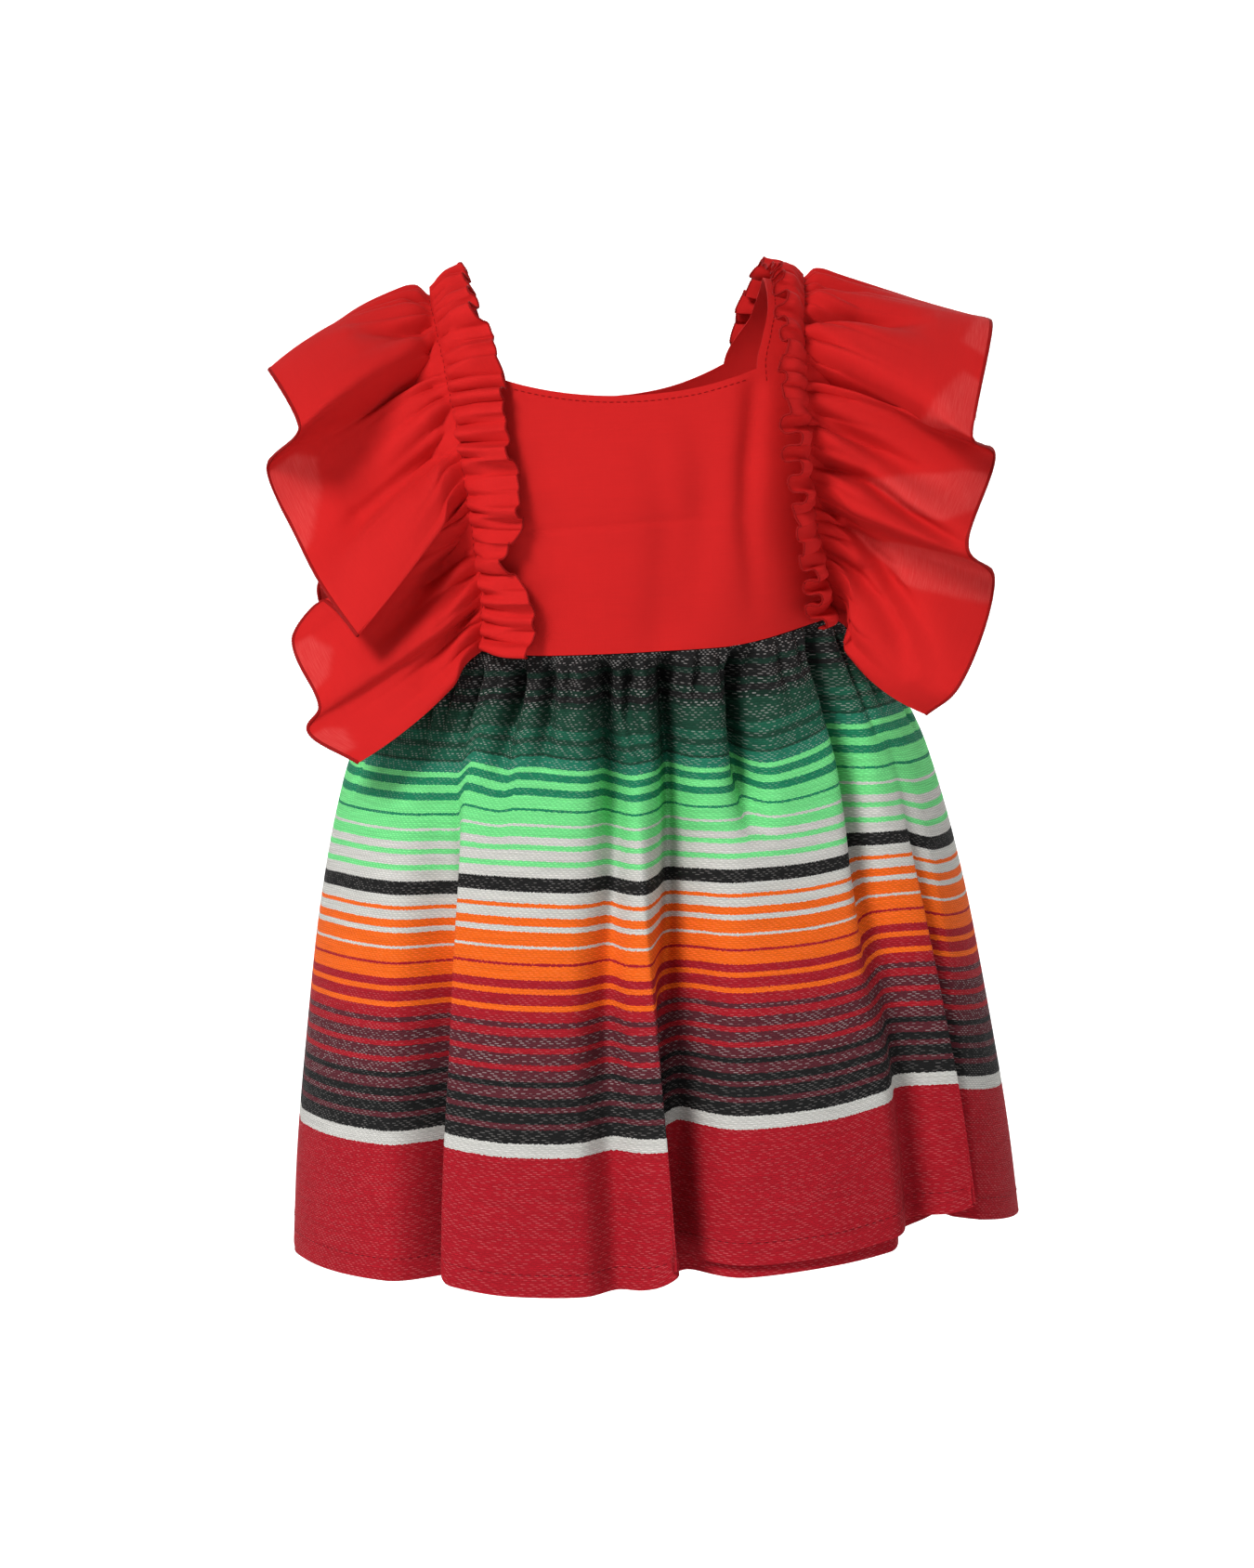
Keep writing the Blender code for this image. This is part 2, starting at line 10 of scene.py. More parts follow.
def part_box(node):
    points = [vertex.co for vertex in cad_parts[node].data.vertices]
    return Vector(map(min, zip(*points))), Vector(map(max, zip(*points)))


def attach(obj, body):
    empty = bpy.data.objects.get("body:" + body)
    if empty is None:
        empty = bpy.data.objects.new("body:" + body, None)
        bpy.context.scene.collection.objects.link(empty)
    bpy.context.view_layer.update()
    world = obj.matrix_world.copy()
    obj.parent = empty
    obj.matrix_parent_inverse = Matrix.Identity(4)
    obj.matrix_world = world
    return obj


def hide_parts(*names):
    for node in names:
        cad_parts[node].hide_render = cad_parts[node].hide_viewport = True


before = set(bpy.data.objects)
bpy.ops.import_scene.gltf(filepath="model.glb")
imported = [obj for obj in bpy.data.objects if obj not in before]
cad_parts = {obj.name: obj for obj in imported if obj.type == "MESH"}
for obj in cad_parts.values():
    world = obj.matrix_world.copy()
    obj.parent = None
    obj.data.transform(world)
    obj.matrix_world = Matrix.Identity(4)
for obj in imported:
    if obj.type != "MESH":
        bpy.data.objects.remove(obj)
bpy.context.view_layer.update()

bl_info = {
    "name": "Child's dress with shoulder ruffles",
    "version": (1, 0, 0),
    "blender": (4, 5, 0),
    "location": "View3D > Sidebar > Dress",
    "description": "Sews a child's dress: red bodice, gathered ruffles and a striped skirt",
    "category": "Add Mesh",
}

BODY = "root"


def table(kind, *rows):
    """Rows of a table, with names for their columns."""
    return tuple(kind(*row) for row in rows)


# Cut of the dress, in metres and degrees. The path runs over the shoulder, from the front waist
# to the back one, and z up from the shoulder.

Level = namedtuple("Level", "path z half_width depth squareness")
BODICE = table(
    Level,
    (-0.2095, -0.1684, 0.1055, -0.08, 2.2), (-0.1745, -0.1336, 0.106, -0.082, 2.3),
    (-0.139, -0.098, 0.106, -0.0815, 2.5), (-0.1095, -0.069, 0.1065, -0.0765, 2.7),
    (-0.0825, -0.044, 0.108, -0.066, 3), (-0.056, -0.0225, 0.11, -0.05, 3.4),
    (-0.029, -0.0075, 0.112, -0.028, 3.8), (0, -0.001, 0.112, 0, 4),
    (0.029, -0.0075, 0.112, 0.028, 3.8), (0.056, -0.0225, 0.11, 0.051, 3.4),
    (0.0825, -0.044, 0.108, 0.067, 3), (0.1095, -0.069, 0.1065, 0.0745, 2.7),
    (0.139, -0.098, 0.106, 0.078, 2.5), (0.1745, -0.1336, 0.106, 0.0785, 2.3),
    (0.2095, -0.1684, 0.1055, 0.076, 2.2),
)
WAIST = 0.2095
WAIST_RISE_RIGHT, WAIST_RISE_LEFT = 0.0070, 0.0035
BODICE_RISE_FROM, SKIRT_RISE_REACH = 0.120, 0.090
SHOULDER_SLOPE, SHOULDER_SLOPE_FROM, SHOULDER_SLOPE_REACH = 0.24, 0.066, 0.110

# Edges of the bodice: how wide the neck is, and the angle of the armhole or the side seam
Edge = namedtuple("Edge", "path neck_x edge")
FRONT_EDGES = table(
    Edge,
    (-0.2095, 0.06, 90), (-0.156, 0.06, 90), (-0.151, 0.06, 76), (-0.141, 0.06, 68),
    (-0.126, 0.06, 63), (-0.108, 0.0595, 60), (-0.078, 0.059, 58.5), (-0.06, 0.0635, 59),
    (-0.04, 0.068, 59.5), (0, 0.0705, 61),
)
BACK_EDGES = table(
    Edge,
    (0, 0.0705, 61), (0.03, 0.0715, 60.5), (0.056, 0.069, 60), (0.083, 0.057, 60),
    (0.108, 0.054, 61.5), (0.126, 0.054, 64), (0.141, 0.054, 69), (0.151, 0.054, 77),
    (0.156, 0.054, 90.4), (0.2095, 0.054, 90.4),
)
FRONT_NECK_CORNER, FRONT_NECK_DIP = -0.078, 0.0105
BACK_NECK_CORNER, BACK_NECK_DIP = 0.086, 0.0158
BODY_ROWS = (0.2095, 0.183, 0.166, 0.156, 0.151, 0.141, 0.126, 0.114, 0.101, 0.092)
STRAP_ROWS = (0.068, 0.056, 0.045, 0.036, 0.028, 0.020, 0.012, 0.005, 0.0)
SIDE_COLUMNS, MIDDLE_COLUMNS = 5, 10
FINER = 6

OVERLAP_HALF, OVERLAP_RAMP, OVERLAP_STEP = 0.010, 0.024, 0.0016
SEAM_SHIFT, SEAM_TUCK = 0.00015, 0.0005

Drop = namedtuple("Drop", "down z half_width front back")
SKIRT = table(
    Drop,
    (0, -0.1687, 0.1055, 0.08, 0.076), (0.012, -0.1798, 0.1105, 0.0835, 0.08),
    (0.035, -0.201, 0.124, 0.0885, 0.087), (0.069, -0.2315, 0.1395, 0.0935, 0.0935),
    (0.134, -0.2945, 0.155, 0.105, 0.105), (0.19, -0.349, 0.1635, 0.1155, 0.1155),
    (0.262, -0.419, 0.1725, 0.125, 0.125), (0.304, -0.4605, 0.176, 0.1305, 0.1305),
)
SKIRT_LENGTH = 0.304
SKIRT_SQUARENESS = 2.15
PANEL_WIDTH = 0.545
HEM_TURN = 0.010
PLEATS, PLEAT_DEPTH, PLEAT_FADE = 19, 0.0015, 0.022
PUFF, PUFF_FADE = 0.0026, 0.070
SEAM_PRESS = 0.12

# Big rolls of the skirt: share of the panel's width, angle round the body, how far it stands
# out at the hem, where down the skirt it starts and how far it lifts the hem
Roll = namedtuple("Roll", "share angle height start lift")
ROLLS = table(
    Roll,
    (0, -90, 0, 0.1, 0.001), (0.073, -74, 0.003, 0.2, 0.004), (0.191, -48.5, 0.007, 0.16, 0.004),
    (0.238, -40.4, -0.009, 0.1, 0.004), (0.267, -34.6, -0.018, 0.05, 0.003),
    (0.293, -37.8, 0.009, 0.05, 0.006), (0.354, -26, 0.012, 0.16, 0.001),
    (0.405, -14.6, 0.011, 0.12, 0), (0.43, -9.8, 0.001, 0.06, 0), (0.453, -5.2, 0.007, 0.08, 0),
    (0.474, -1, 0.01, 0.05, 0.001), (0.507, -2.6, -0.024, 0.03, 0.003),
    (0.54, 1, -0.013, 0.04, 0.01), (0.585, 9.8, 0.001, 0.1, 0.0085),
    (0.65, 24, 0.007, 0.2, 0.0105), (0.704, 34.4, 0.007, 0.12, 0.0145),
    (0.742, 42.5, -0.004, 0.08, 0.0175), (0.768, 47, 0.001, 0.1, 0.0185),
    (0.795, 52.6, 0.007, 0.14, 0.018), (0.823, 51.4, -0.013, 0.08, 0.0155),
    (0.85, 56, 0.003, 0.15, 0.012), (0.92, 72, 0.002, 0.2, 0.005), (1, 90, 0, 0.1, 0.001),
)

# How much the hem's corners are rounded up at the edges of the big folds
HemRise = namedtuple("HemRise", "share rise")
HEM_RISES = table(
    HemRise,
    (0, 0), (0.26, 0), (0.278, 0.007), (0.293, 0.005), (0.312, 0), (0.44, 0), (0.456, 0.0015),
    (0.47, 0.006), (0.482, 0.011), (0.507, 0.011), (0.53, 0), (0.77, 0), (0.795, 0.0035),
    (0.815, 0.006), (0.835, 0), (1, 0),
)
HEM_RISE_REACH = 0.030
# The fold of the front panel that shows under its hem, and how far it hangs down
UNDER_FOLD = (0.509, 0.762)
UNDER_FOLD_FROM, UNDER_FOLD_HANG, UNDER_FOLD_GAP, UNDER_FOLD_WALL = 0.262, 0.0068, 0.0035, 0.0016

# Where the ruffles are stitched on, measured from the middle
Stitch = namedtuple("Stitch", "path left_x right_x")
STITCHES = table(
    Stitch,
    (-0.21, 0.0745, 0.09), (-0.18, 0.0735, 0.085), (-0.155, 0.0765, 0.082), (-0.125, 0.079, 0.08),
    (-0.095, 0.0825, 0.0805), (-0.055, 0.087, 0.083), (-0.02, 0.089, 0.087), (0.02, 0.087, 0.089),
    (0.055, 0.0835, 0.087), (0.095, 0.081, 0.0825), (0.155, 0.082, 0.077), (0.21, 0.088, 0.0755),
)
STRIP_END = 0.2085

# Lobes of the wide sides: share along the strip, where the edge is, and how far the cloth arches
Flute = namedtuple("Flute", "share out depth z arch")
FLUTES_LEFT = table(
    Flute,
    (0, 0.137, -0.07, -0.214, 0.01), (0.047, 0.159, -0.06, -0.198, 0.006),
    (0.07, 0.153, -0.064, -0.188, 0.008), (0.128, 0.163, -0.045, -0.158, 0.004),
    (0.152, 0.148, -0.047, -0.14, 0.004), (0.19, 0.135, -0.085, -0.153, 0.008),
    (0.325, 0.171, -0.04, -0.079, 0.006), (0.375, 0.156, -0.072, -0.058, 0.008),
    (0.43, 0.167, -0.022, -0.034, 0.009), (0.5, 0.15, 0.006, -0.034, 0.01),
)
FLUTES_RIGHT = table(
    Flute,
    (0, 0.133, -0.066, -0.206, 0.01), (0.04, 0.146, -0.075, -0.194, 0.008),
    (0.125, 0.169, -0.045, -0.146, 0.005), (0.18, 0.152, -0.078, -0.128, 0.008),
    (0.271, 0.172, -0.038, -0.089, 0.006), (0.329, 0.157, -0.072, -0.077, 0.008),
    (0.44, 0.174, -0.028, -0.027, 0.001), (0.5, 0.163, 0.006, -0.026, 0.003),
)
BACK_REACH, BACK_SINK = 0.87, 0.012
FLUTTER_TURN = 0.30
FLUTTER_GAP = 0.0016

# Heading, the narrow frill on the neck side of the stitches. "reach" is how far towards the
# neck it goes, "rise" how far its edge stands off the bodice, "wave" how deep its loops are,
# "roll" how far a loop leans along the strip, "even" how regular the loops are and "crumple"
# how deep the fine gathers next to the stitches are.
Heading = namedtuple("Heading", "share reach rise wave roll even crumple")
HEADING_LEFT = table(
    Heading,
    (0, 0.0225, 0.006, 0.0046, 0.0008, 0.5, 0.0062),
    (0.06, 0.024, 0.0055, 0.005, 0.0008, 0.4, 0.0062),
    (0.105, 0.014, 0.008, 0.0046, 0.0012, 0.6, 0.0062),
    (0.15, 0.0235, 0.006, 0.0044, 0.0007, 0.45, 0.0062),
    (0.2, 0.024, 0.006, 0.0052, 0.001, 0.45, 0.0062),
    (0.25, 0.0225, 0.008, 0.0044, 0.0007, 0.35, 0.0062),
    (0.3, 0.0245, 0.006, 0.0052, 0.0008, 0.4, 0.0062),
    (0.345, 0.024, 0.0075, 0.004, 0.0007, 0.35, 0.0062),
    (0.392, 0.019, 0.012, 0.0064, 0.0014, 0.8, 0.0062),
    (0.45, 0.019, 0.008, 0.004, 0.0007, 0.3, 0.0062),
    (0.5, 0.0185, 0.0105, 0.0026, 0.0006, 0.4, 0.0062),
)
HEADING_RIGHT = table(
    Heading,
    (0, 0.015, 0.009, 0.0044, 0.0014, 0.9, 0.004),
    (0.06, 0.0145, 0.012, 0.0056, 0.0017, 1, 0.004),
    (0.11, 0.0165, 0.013, 0.0042, 0.0014, 0.8, 0.004),
    (0.14, 0.015, 0.0115, 0.0036, 0.0008, 0.7, 0.0046),
    (0.17, 0.014, 0.013, 0.006, 0.0014, 1, 0.004),
    (0.25, 0.015, 0.013, 0.0046, 0.0015, 0.9, 0.004),
    (0.29, 0.0155, 0.011, 0.0036, 0.0008, 0.6, 0.0046),
    (0.32, 0.0135, 0.0125, 0.0056, 0.0014, 1, 0.004),
    (0.4, 0.0145, 0.0115, 0.0048, 0.0015, 0.9, 0.004),
    (0.47, 0.015, 0.006, 0.0034, 0.0011, 0.8, 0.004),
    (0.5, 0.015, 0.004, 0.0024, 0.0008, 0.7, 0.004),
)
HEADING_CURL, HEADING_PUFF, HEADING_ROWS = 1.2, 0.0032, 14
SEAT = 0.0018
LOOPS, TIGHT_GATHERS = 16, 27
GATHER_START, GATHER_DEPTH, GATHER_FADE = 0.0018, 0.0062, 0.18
CREASE_RUN, CREASE_REACH = 0.52, 0.10
PAINTED_BACKLIGHT_RUN = 0.70

# What makes gathers uneven along an edge: how often each swing comes, and its size
SWINGS = ((3, 0.0250), (5, -0.0100), (7, 0.0137))
FINE_SWINGS = ((2, 0.020), (9, 0.0080), (13, -0.0070), (21, 0.0040))
TIGHT_SWINGS = ((2, 0.020), (7, 0.0110), (11, -0.0090), (17, 0.0060))

# Creases, listed one by one. Each point is a place on the flat cloth and the strength there; then
# come the depth in metres, the half width in metres, and how far the sides lean over the trough.
Crease = namedtuple("Crease", "line depth width lap")
SKIRT_CREASES = table(
    Crease,
    (((0.168, 0.004, 0.6), (0.176, 0.02, 1), (0.212, 0.06, 0)), 0.0076, 0.0053, 0.0015),
    (((0.205, 0, 0.8), (0.214, 0.02, 0.8), (0.226, 0.045, 0)), 0.0057, 0.0038, 0.0015),
    (((0.253, 0, 0.9), (0.257, 0.022, 1), (0.262, 0.06, 0)), 0.0068, 0.0038, 0.0015),
    (((0.282, 0, 0.9), (0.284, 0.012, 0.8), (0.288, 0.026, 0)), 0.0046, 0.0027, 0),
    (((0.31, 0, 1), (0.317, 0.024, 1), (0.324, 0.066, 0)), 0.019, 0.0074, 0.001),
    (((0.335, 0, 1), (0.337, 0.01, 0.8), (0.34, 0.024, 0)), 0.0049, 0.0029, 0),
    (((0.358, 0, 1), (0.37, 0.032, 0.8), (0.376, 0.06, 0)), 0.0155, 0.0064, 0.0008),
    (((0.39, 0, 1), (0.393, 0.016, 0.8), (0.398, 0.034, 0)), 0.0057, 0.0032, 0),
    (((0.414, 0, 1), (0.416, 0.01, 0.8), (0.42, 0.026, 0)), 0.0053, 0.0029, 0),
    (((0.437, 0, 1), (0.444, 0.03, 1), (0.453, 0.06, 0.9), (0.449, 0.112, 0.6),
      (0.432, 0.2, 0.2)), 0.027, 0.0088, 0.001),
    (((0.475, 0, 1), (0.474, 0.034, 0.9), (0.494, 0.062, 0)), 0.015, 0.0062, 0.0008),
    (((0.502, 0, 1), (0.503, 0.012, 0.8), (0.506, 0.03, 0)), 0.0049, 0.0029, 0),
    (((0.528, 0, 0.9), (0.527, 0.03, 1), (0.524, 0.139, 0.6), (0.514, 0.22, 0.1)),
      0.034, 0.01, 0.0016),
    (((0.552, 0, 0.8), (0.549, 0.014, 0.8), (0.546, 0.03, 0)), 0.0046, 0.0027, 0),
    (((0.577, 0, 1), (0.562, 0.024, 0.7), (0.556, 0.04, 0)), 0.01, 0.0046, 0.0008),
    (((0.606, 0, 1), (0.602, 0.012, 0.8), (0.596, 0.028, 0)), 0.0049, 0.0029, 0),
    (((0.637, 0, 1), (0.612, 0.04, 1), (0.604, 0.066, 0.7), (0.606, 0.1, 0)),
      0.031, 0.009, 0.0012),
    (((0.664, 0, 1), (0.648, 0.026, 0.8), (0.638, 0.044, 0)), 0.011, 0.0048, 0.0008),
    (((0.701, 0, 1), (0.691, 0.018, 0.7), (0.686, 0.034, 0)), 0.0057, 0.0036, 0),
    (((0.735, 0, 0.8), (0.728, 0.016, 0.6), (0.722, 0.03, 0)), 0.0053, 0.0036, 0),
    (((0.776, 0, 1), (0.752, 0.044, 1), (0.73, 0.12, 0.6), (0.716, 0.2, 0.1)),
      0.027, 0.0096, 0.0012),
    (((0.83, 0, 0.9), (0.812, 0.03, 0.8), (0.802, 0.06, 0)), 0.0068, 0.0044, 0.0015),
    (((0.868, 0, 0.9), (0.852, 0.024, 0.8), (0.84, 0.05, 0)), 0.0057, 0.0042, 0),
    (((0.968, 0.004, 0.8), (0.94, 0.034, 1), (0.914, 0.062, 0)), 0.0068, 0.0053, 0.0015),
    (((0.262, 0.06, 0), (0.272, 0.12, 0.7), (0.286, 0.2, 1), (0.286, 0.304, 1)),
      0.0095, 0.0053, 0.003),
    (((0.43, 0.13, 0), (0.43, 0.2, 1), (0.431, 0.27, 0.9), (0.432, 0.304, 0.6)),
      0.0075, 0.012, 0),
    (((0.5, 0.18, 0.3), (0.504, 0.24, 1), (0.506, 0.304, 1)), 0.0114, 0.0053, 0.003),
    (((0.752, 0.11, 0.2), (0.748, 0.2, 1), (0.744, 0.304, 1)), 0.0085, 0.012, 0),
    (((0.826, 0.1, 0), (0.822, 0.2, 0.8), (0.82, 0.304, 0.8)), 0.008, 0.006, 0.002),
    (((0.06, 0, 0.8), (0.066, 0.03, 0.8), (0.078, 0.08, 0)), 0.0065, 0.0046, 0.0015),
    (((0.115, 0, 0.8), (0.122, 0.024, 0.8), (0.138, 0.06, 0)), 0.0065, 0.0042, 0.0015),
    (((0.244, 0.05, 0.2), (0.249, 0.14, 1), (0.253, 0.304, 1)), 0.011, 0.015, 0),
    (((0.486, 0.006, 0.6), (0.488, 0.05, 1), (0.486, 0.1, 0.4)), 0.004, 0.014, 0),
    (((0.545, 0.1, 0.6), (0.545, 0.18, 1), (0.538, 0.3, 1)), 0.014, 0.013, 0),
)


# The long ones of these, which the back has too, and the number of the back's own gathers
LONG_CREASES, BACK_GATHERS = slice(24, 29), 24

# Creases of the wide sides, from the stitches (0) to the edge (1), by share along the strip
LEFT_CREASES = table(
    Crease,
    (((0.438, 0, 1), (0.452, 0.06, 0.8), (0.472, 0.14, 0)), 0.0058, 0.005, 0.0013),
    (((0.407, 0, 1), (0.408, 0.21, 0.9), (0.415, 0.5, 0)), 0.011, 0.0066, 0.003),
    (((0.375, 0.02, 1), (0.403, 0.19, 0)), 0.0068, 0.005, 0.0013),
    (((0.348, 0, 1), (0.348, 0.31, 1), (0.33, 0.78, 0)), 0.018, 0.013, 0.0035),
    (((0.303, 0, 1), (0.318, 0.17, 0)), 0.0058, 0.0045, 0.0013),
    (((0.275, 0, 1), (0.282, 0.12, 0)), 0.0058, 0.0042, 0.0013),
    (((0.255, 0, 1), (0.257, 0.15, 1), (0.262, 0.68, 0.8), (0.255, 0.98, 0)),
      0.016, 0.009, 0.0035),
    (((0.284, 0.1, 0.3), (0.29, 0.5, 1), (0.284, 1, 1)), 0.014, 0.017, 0),
    (((0.225, 0, 1), (0.242, 0.14, 0.8), (0.235, 0.36, 0)), 0.0068, 0.005, 0.0013),
    (((0.18, 0, 1), (0.178, 0.1, 0.8), (0.172, 0.26, 0)), 0.0068, 0.0055, 0.0013),
    (((0.137, 0, 1), (0.118, 0.19, 1), (0.102, 0.36, 0.8), (0.082, 0.74, 0)),
      0.016, 0.009, 0.0035),
    (((0.095, 0, 1), (0.086, 0.14, 0.7), (0.074, 0.3, 0)), 0.0061, 0.005, 0.0013),
    (((0.055, 0, 1), (0.045, 0.14, 1), (0.028, 0.47, 0)), 0.01, 0.0066, 0.0024),
)
RIGHT_CREASES = table(
    Crease,
    (((0.44, 0, 1), (0.45, 0.12, 0.8), (0.456, 0.34, 0)), 0.0061, 0.0055, 0.0013),
    (((0.385, 0, 1), (0.407, 0.32, 1), (0.415, 0.7, 0)), 0.013, 0.008, 0.003),
    (((0.35, 0, 0.8), (0.352, 0.12, 0.6), (0.356, 0.28, 0)), 0.0051, 0.0045, 0.0013),
    (((0.31, 0, 1), (0.318, 0.3, 1), (0.32, 0.69, 0.8), (0.282, 0.92, 0)), 0.017, 0.0105, 0.0035),
    (((0.284, 0, 0.8), (0.286, 0.14, 0.6), (0.288, 0.26, 0)), 0.0051, 0.0042, 0.0013),
    (((0.257, 0, 1), (0.248, 0.19, 1), (0.23, 0.56, 0.8), (0.217, 0.94, 0)),
      0.011, 0.0072, 0.0024),
    (((0.202, 0, 1), (0.203, 0.34, 1), (0.19, 0.61, 1), (0.18, 1, 0.4)), 0.0165, 0.0085, 0.0035),
    (((0.163, 0, 1), (0.14, 0.16, 1), (0.088, 0.45, 0.8), (0.035, 0.96, 0)),
      0.013, 0.0076, 0.003),
    (((0.128, 0, 0.8), (0.118, 0.1, 0.7), (0.098, 0.22, 0)), 0.0054, 0.0042, 0.0013),
    (((0.09, 0, 1), (0.078, 0.24, 1), (0.05, 0.54, 0.7), (0.028, 0.76, 0)),
      0.011, 0.0066, 0.0026),
    (((0.045, 0, 1), (0.038, 0.16, 0.8), (0.026, 0.34, 0)), 0.0058, 0.0045, 0.0013),
)

# Creases of the bodice's front by x and z
BODICE_CREASES = table(
    Crease,
    (((0.057, -0.05, 0.7), (0.052, -0.083, 1), (0.05, -0.109, 0.8), (0.052, -0.152, 0.2)),
      0.0038, 0.0055, 0),
    (((0.03, -0.056, 0.2), (0.03, -0.1, 1), (0.02, -0.151, 0.5)), 0.004, 0.011, 0),
    (((0.004, -0.06, 0), (0.012, -0.11, 0.9), (0.006, -0.16, 0.6)), 0.003, 0.009, 0),
    (((-0.05, -0.07, 0), (-0.044, -0.11, 0.8), (-0.04, -0.16, 0)), 0.0024, 0.01, 0),
    (((-0.055, -0.11, 0.5), (0.004, -0.1075, 0.8), (0.047, -0.1088, 0.2)), 0.0009, 0.0018, 0),
    (((-0.054, -0.063, 0.3), (0.006, -0.0645, 0.7), (0.049, -0.0665, 0.2)), 0.0007, 0.0018, 0),
)

# Places where the wide sides hang single against the light. There the red is painted paler as
# painted backlight, standing in for light showing through the cloth: corners by share along the
# strip and place across it
PAINTED_BACKLIGHT_LEFT = (
    ((0.326, 0.84), (0.314, 0.74), (0.296, 0.78), (0.274, 0.94), (0.268, 1.04), (0.324, 1.04)),
    ((0.124, 0.9), (0.106, 0.82), (0.09, 0.9), (0.084, 1.04), (0.124, 1.04)),
    ((0.038, 0.92), (0.028, 0.86), (0.012, 0.92), (0.012, 1.04), (0.038, 1.04)),
)
PAINTED_BACKLIGHT_RIGHT = (
    ((0.446, 0.94), (0.4, 0.86), (0.394, 1.04), (0.446, 1.04)),
    ((0.378, 0.9), (0.346, 0.76), (0.302, 0.66), (0.32, 0.86), (0.33, 1.04), (0.376, 1.04)),
    ((0.244, 0.84), (0.226, 0.58), (0.208, 0.34), (0.192, 0.62), (0.202, 0.84), (0.222, 1.04),
      (0.25, 1.04)),
    ((0.156, 0.92), (0.142, 0.6), (0.128, 0.22), (0.108, 0.3), (0.098, 0.5), (0.1, 0.8),
      (0.104, 1.04), (0.152, 1.04)),
)

# Stripe slip, how far the stripes sit below the even drop of the cloth, by share
Slip = namedtuple("Slip", "share high low")
SLIPS = table(
    Slip,
    (0, 0.007, 0.0065), (0.1, 0.0072, 0.004), (0.2, 0.0075, 0.0045), (0.262, 0.0075, 0.0055),
    (0.285, 0.001, 0), (0.333, 0.005, 0), (0.348, 0.003, 0.0003), (0.42, 0.006, 0.002),
    (0.437, 0.0065, 0.0025), (0.455, 0.011, 0.0045), (0.51, 0.0092, 0.0045), (0.53, 0.009, 0.006),
    (0.56, 0.0085, 0.004), (0.593, 0.008, 0.0034), (0.602, 0.004, 0.0032), (0.625, 0.008, 0.003),
    (0.66, 0.006, 0.0026), (0.72, 0.0006, 0.002), (0.745, -0.003, -0.0035),
    (0.8, -0.0034, -0.005), (0.83, -0.0037, -0.001), (0.86, -0.004, 0.001), (1, -0.003, 0),
)
SLIP_HIGH_AT, SLIP_LOW_AT, SLIP_OVER_AT = 0.055, 0.109, 0.237

# Yarns of the stripes, then the stripes down the cloth: where each one starts in millimetres
# from the waist, its yarn, and how much of the pale warp shows through it
YARNS = {
    "black": (0.0125, 0.0125, 0.0125),
    "night": (0.0090, 0.0300, 0.0200),
    "bottle": (0.0110, 0.0560, 0.0330),
    "green": (0.0120, 0.1050, 0.0600),
    "sea": (0.0180, 0.1900, 0.1120),
    "teal": (0.0140, 0.2250, 0.1080),
    "lime": (0.1800, 0.7700, 0.2600),
    "white": (0.6300, 0.6200, 0.5850),
    "orange": (0.9200, 0.1400, 0.0110),
    "crimson": (0.3900, 0.0110, 0.0210),
    "plum": (0.1050, 0.0190, 0.0270),
    "wine": (0.4150, 0.0085, 0.0185),
}
STRIPES = (
    (-20, "black", 0.26), (7.3, "night", 0.08), (10.3, "black", 0.16), (14.7, "night", 0.26),
    (18.5, "black", 0.08), (20.3, "night", 0.26), (22.9, "bottle", 0.16), (32.2, "green", 0.16),
    (36.1, "bottle", 0.14), (38.8, "green", 0.2), (44, "bottle", 0.08), (45.8, "sea", 0.18),
    (51.2, "lime", 0.02), (53.8, "teal", 0.08), (58.3, "lime", 0.04), (62.3, "teal", 0.08),
    (65.6, "lime", 0.04), (71.8, "teal", 0.08), (73.5, "lime", 0.04), (79.7, "white", 0),
    (81.4, "lime", 0.04), (86.9, "white", 0), (90.4, "lime", 0.06), (94, "white", 0),
    (99.2, "lime", 0.06), (101, "white", 0), (107.1, "black", 0.1), (113.1, "white", 0),
    (118.8, "orange", 0.02), (121.4, "white", 0), (125.6, "orange", 0.02), (129.6, "white", 0),
    (132.7, "orange", 0.02), (138.4, "white", 0), (139.9, "orange", 0.02),
    (146.3, "crimson", 0.03), (148.3, "orange", 0.02), (154.7, "crimson", 0.03),
    (158, "orange", 0.02), (161.9, "crimson", 0.04), (166.8, "orange", 0.02),
    (169, "crimson", 0.06), (174.9, "plum", 0.2), (177.8, "crimson", 0.06), (181.7, "plum", 0.2),
    (185.9, "crimson", 0.06), (189, "plum", 0.22), (194.5, "crimson", 0.04),
    (196.5, "plum", 0.22), (202.8, "black", 0.06), (205.3, "plum", 0.2), (210.8, "black", 0.07),
    (213.8, "plum", 0.2), (217.4, "black", 0.09), (222.6, "plum", 0.14), (225.5, "black", 0.1),
    (231.7, "white", 0), (237.8, "wine", 0.05),
)
# The first ramp's stripes, and the stretch of cloth in millimetres that the ramps cover
FIRST_RAMP = 29
RAMP_START, RAMP_SPAN = 20.0, 340.0

# Weaves, in millimetres
WEFT_PITCH, FLECK_PITCH, COTTON_PITCH = 0.95, 3.2, 0.42
FLECK_STRENGTH = 1.40

BUTTON_PROFILE = (
    (0, 0.0003), (0.0006, 0.0003), (0.0012, 0.0003), (0.0020, 0.0003), (0.0034, 0.0004),
    (0.0040, 0.0008), (0.0046, 0.0010), (0.0052, 0.0008), (0.0055, 0), (0.0053, -0.0008),
    (0.0045, -0.0011), (0, -0.0011),
)
BUTTON_SIDES = 48
HOLE, HOLE_DEPTH, HOLE_PLACE = 0.0011, 0.0007, 0.0014

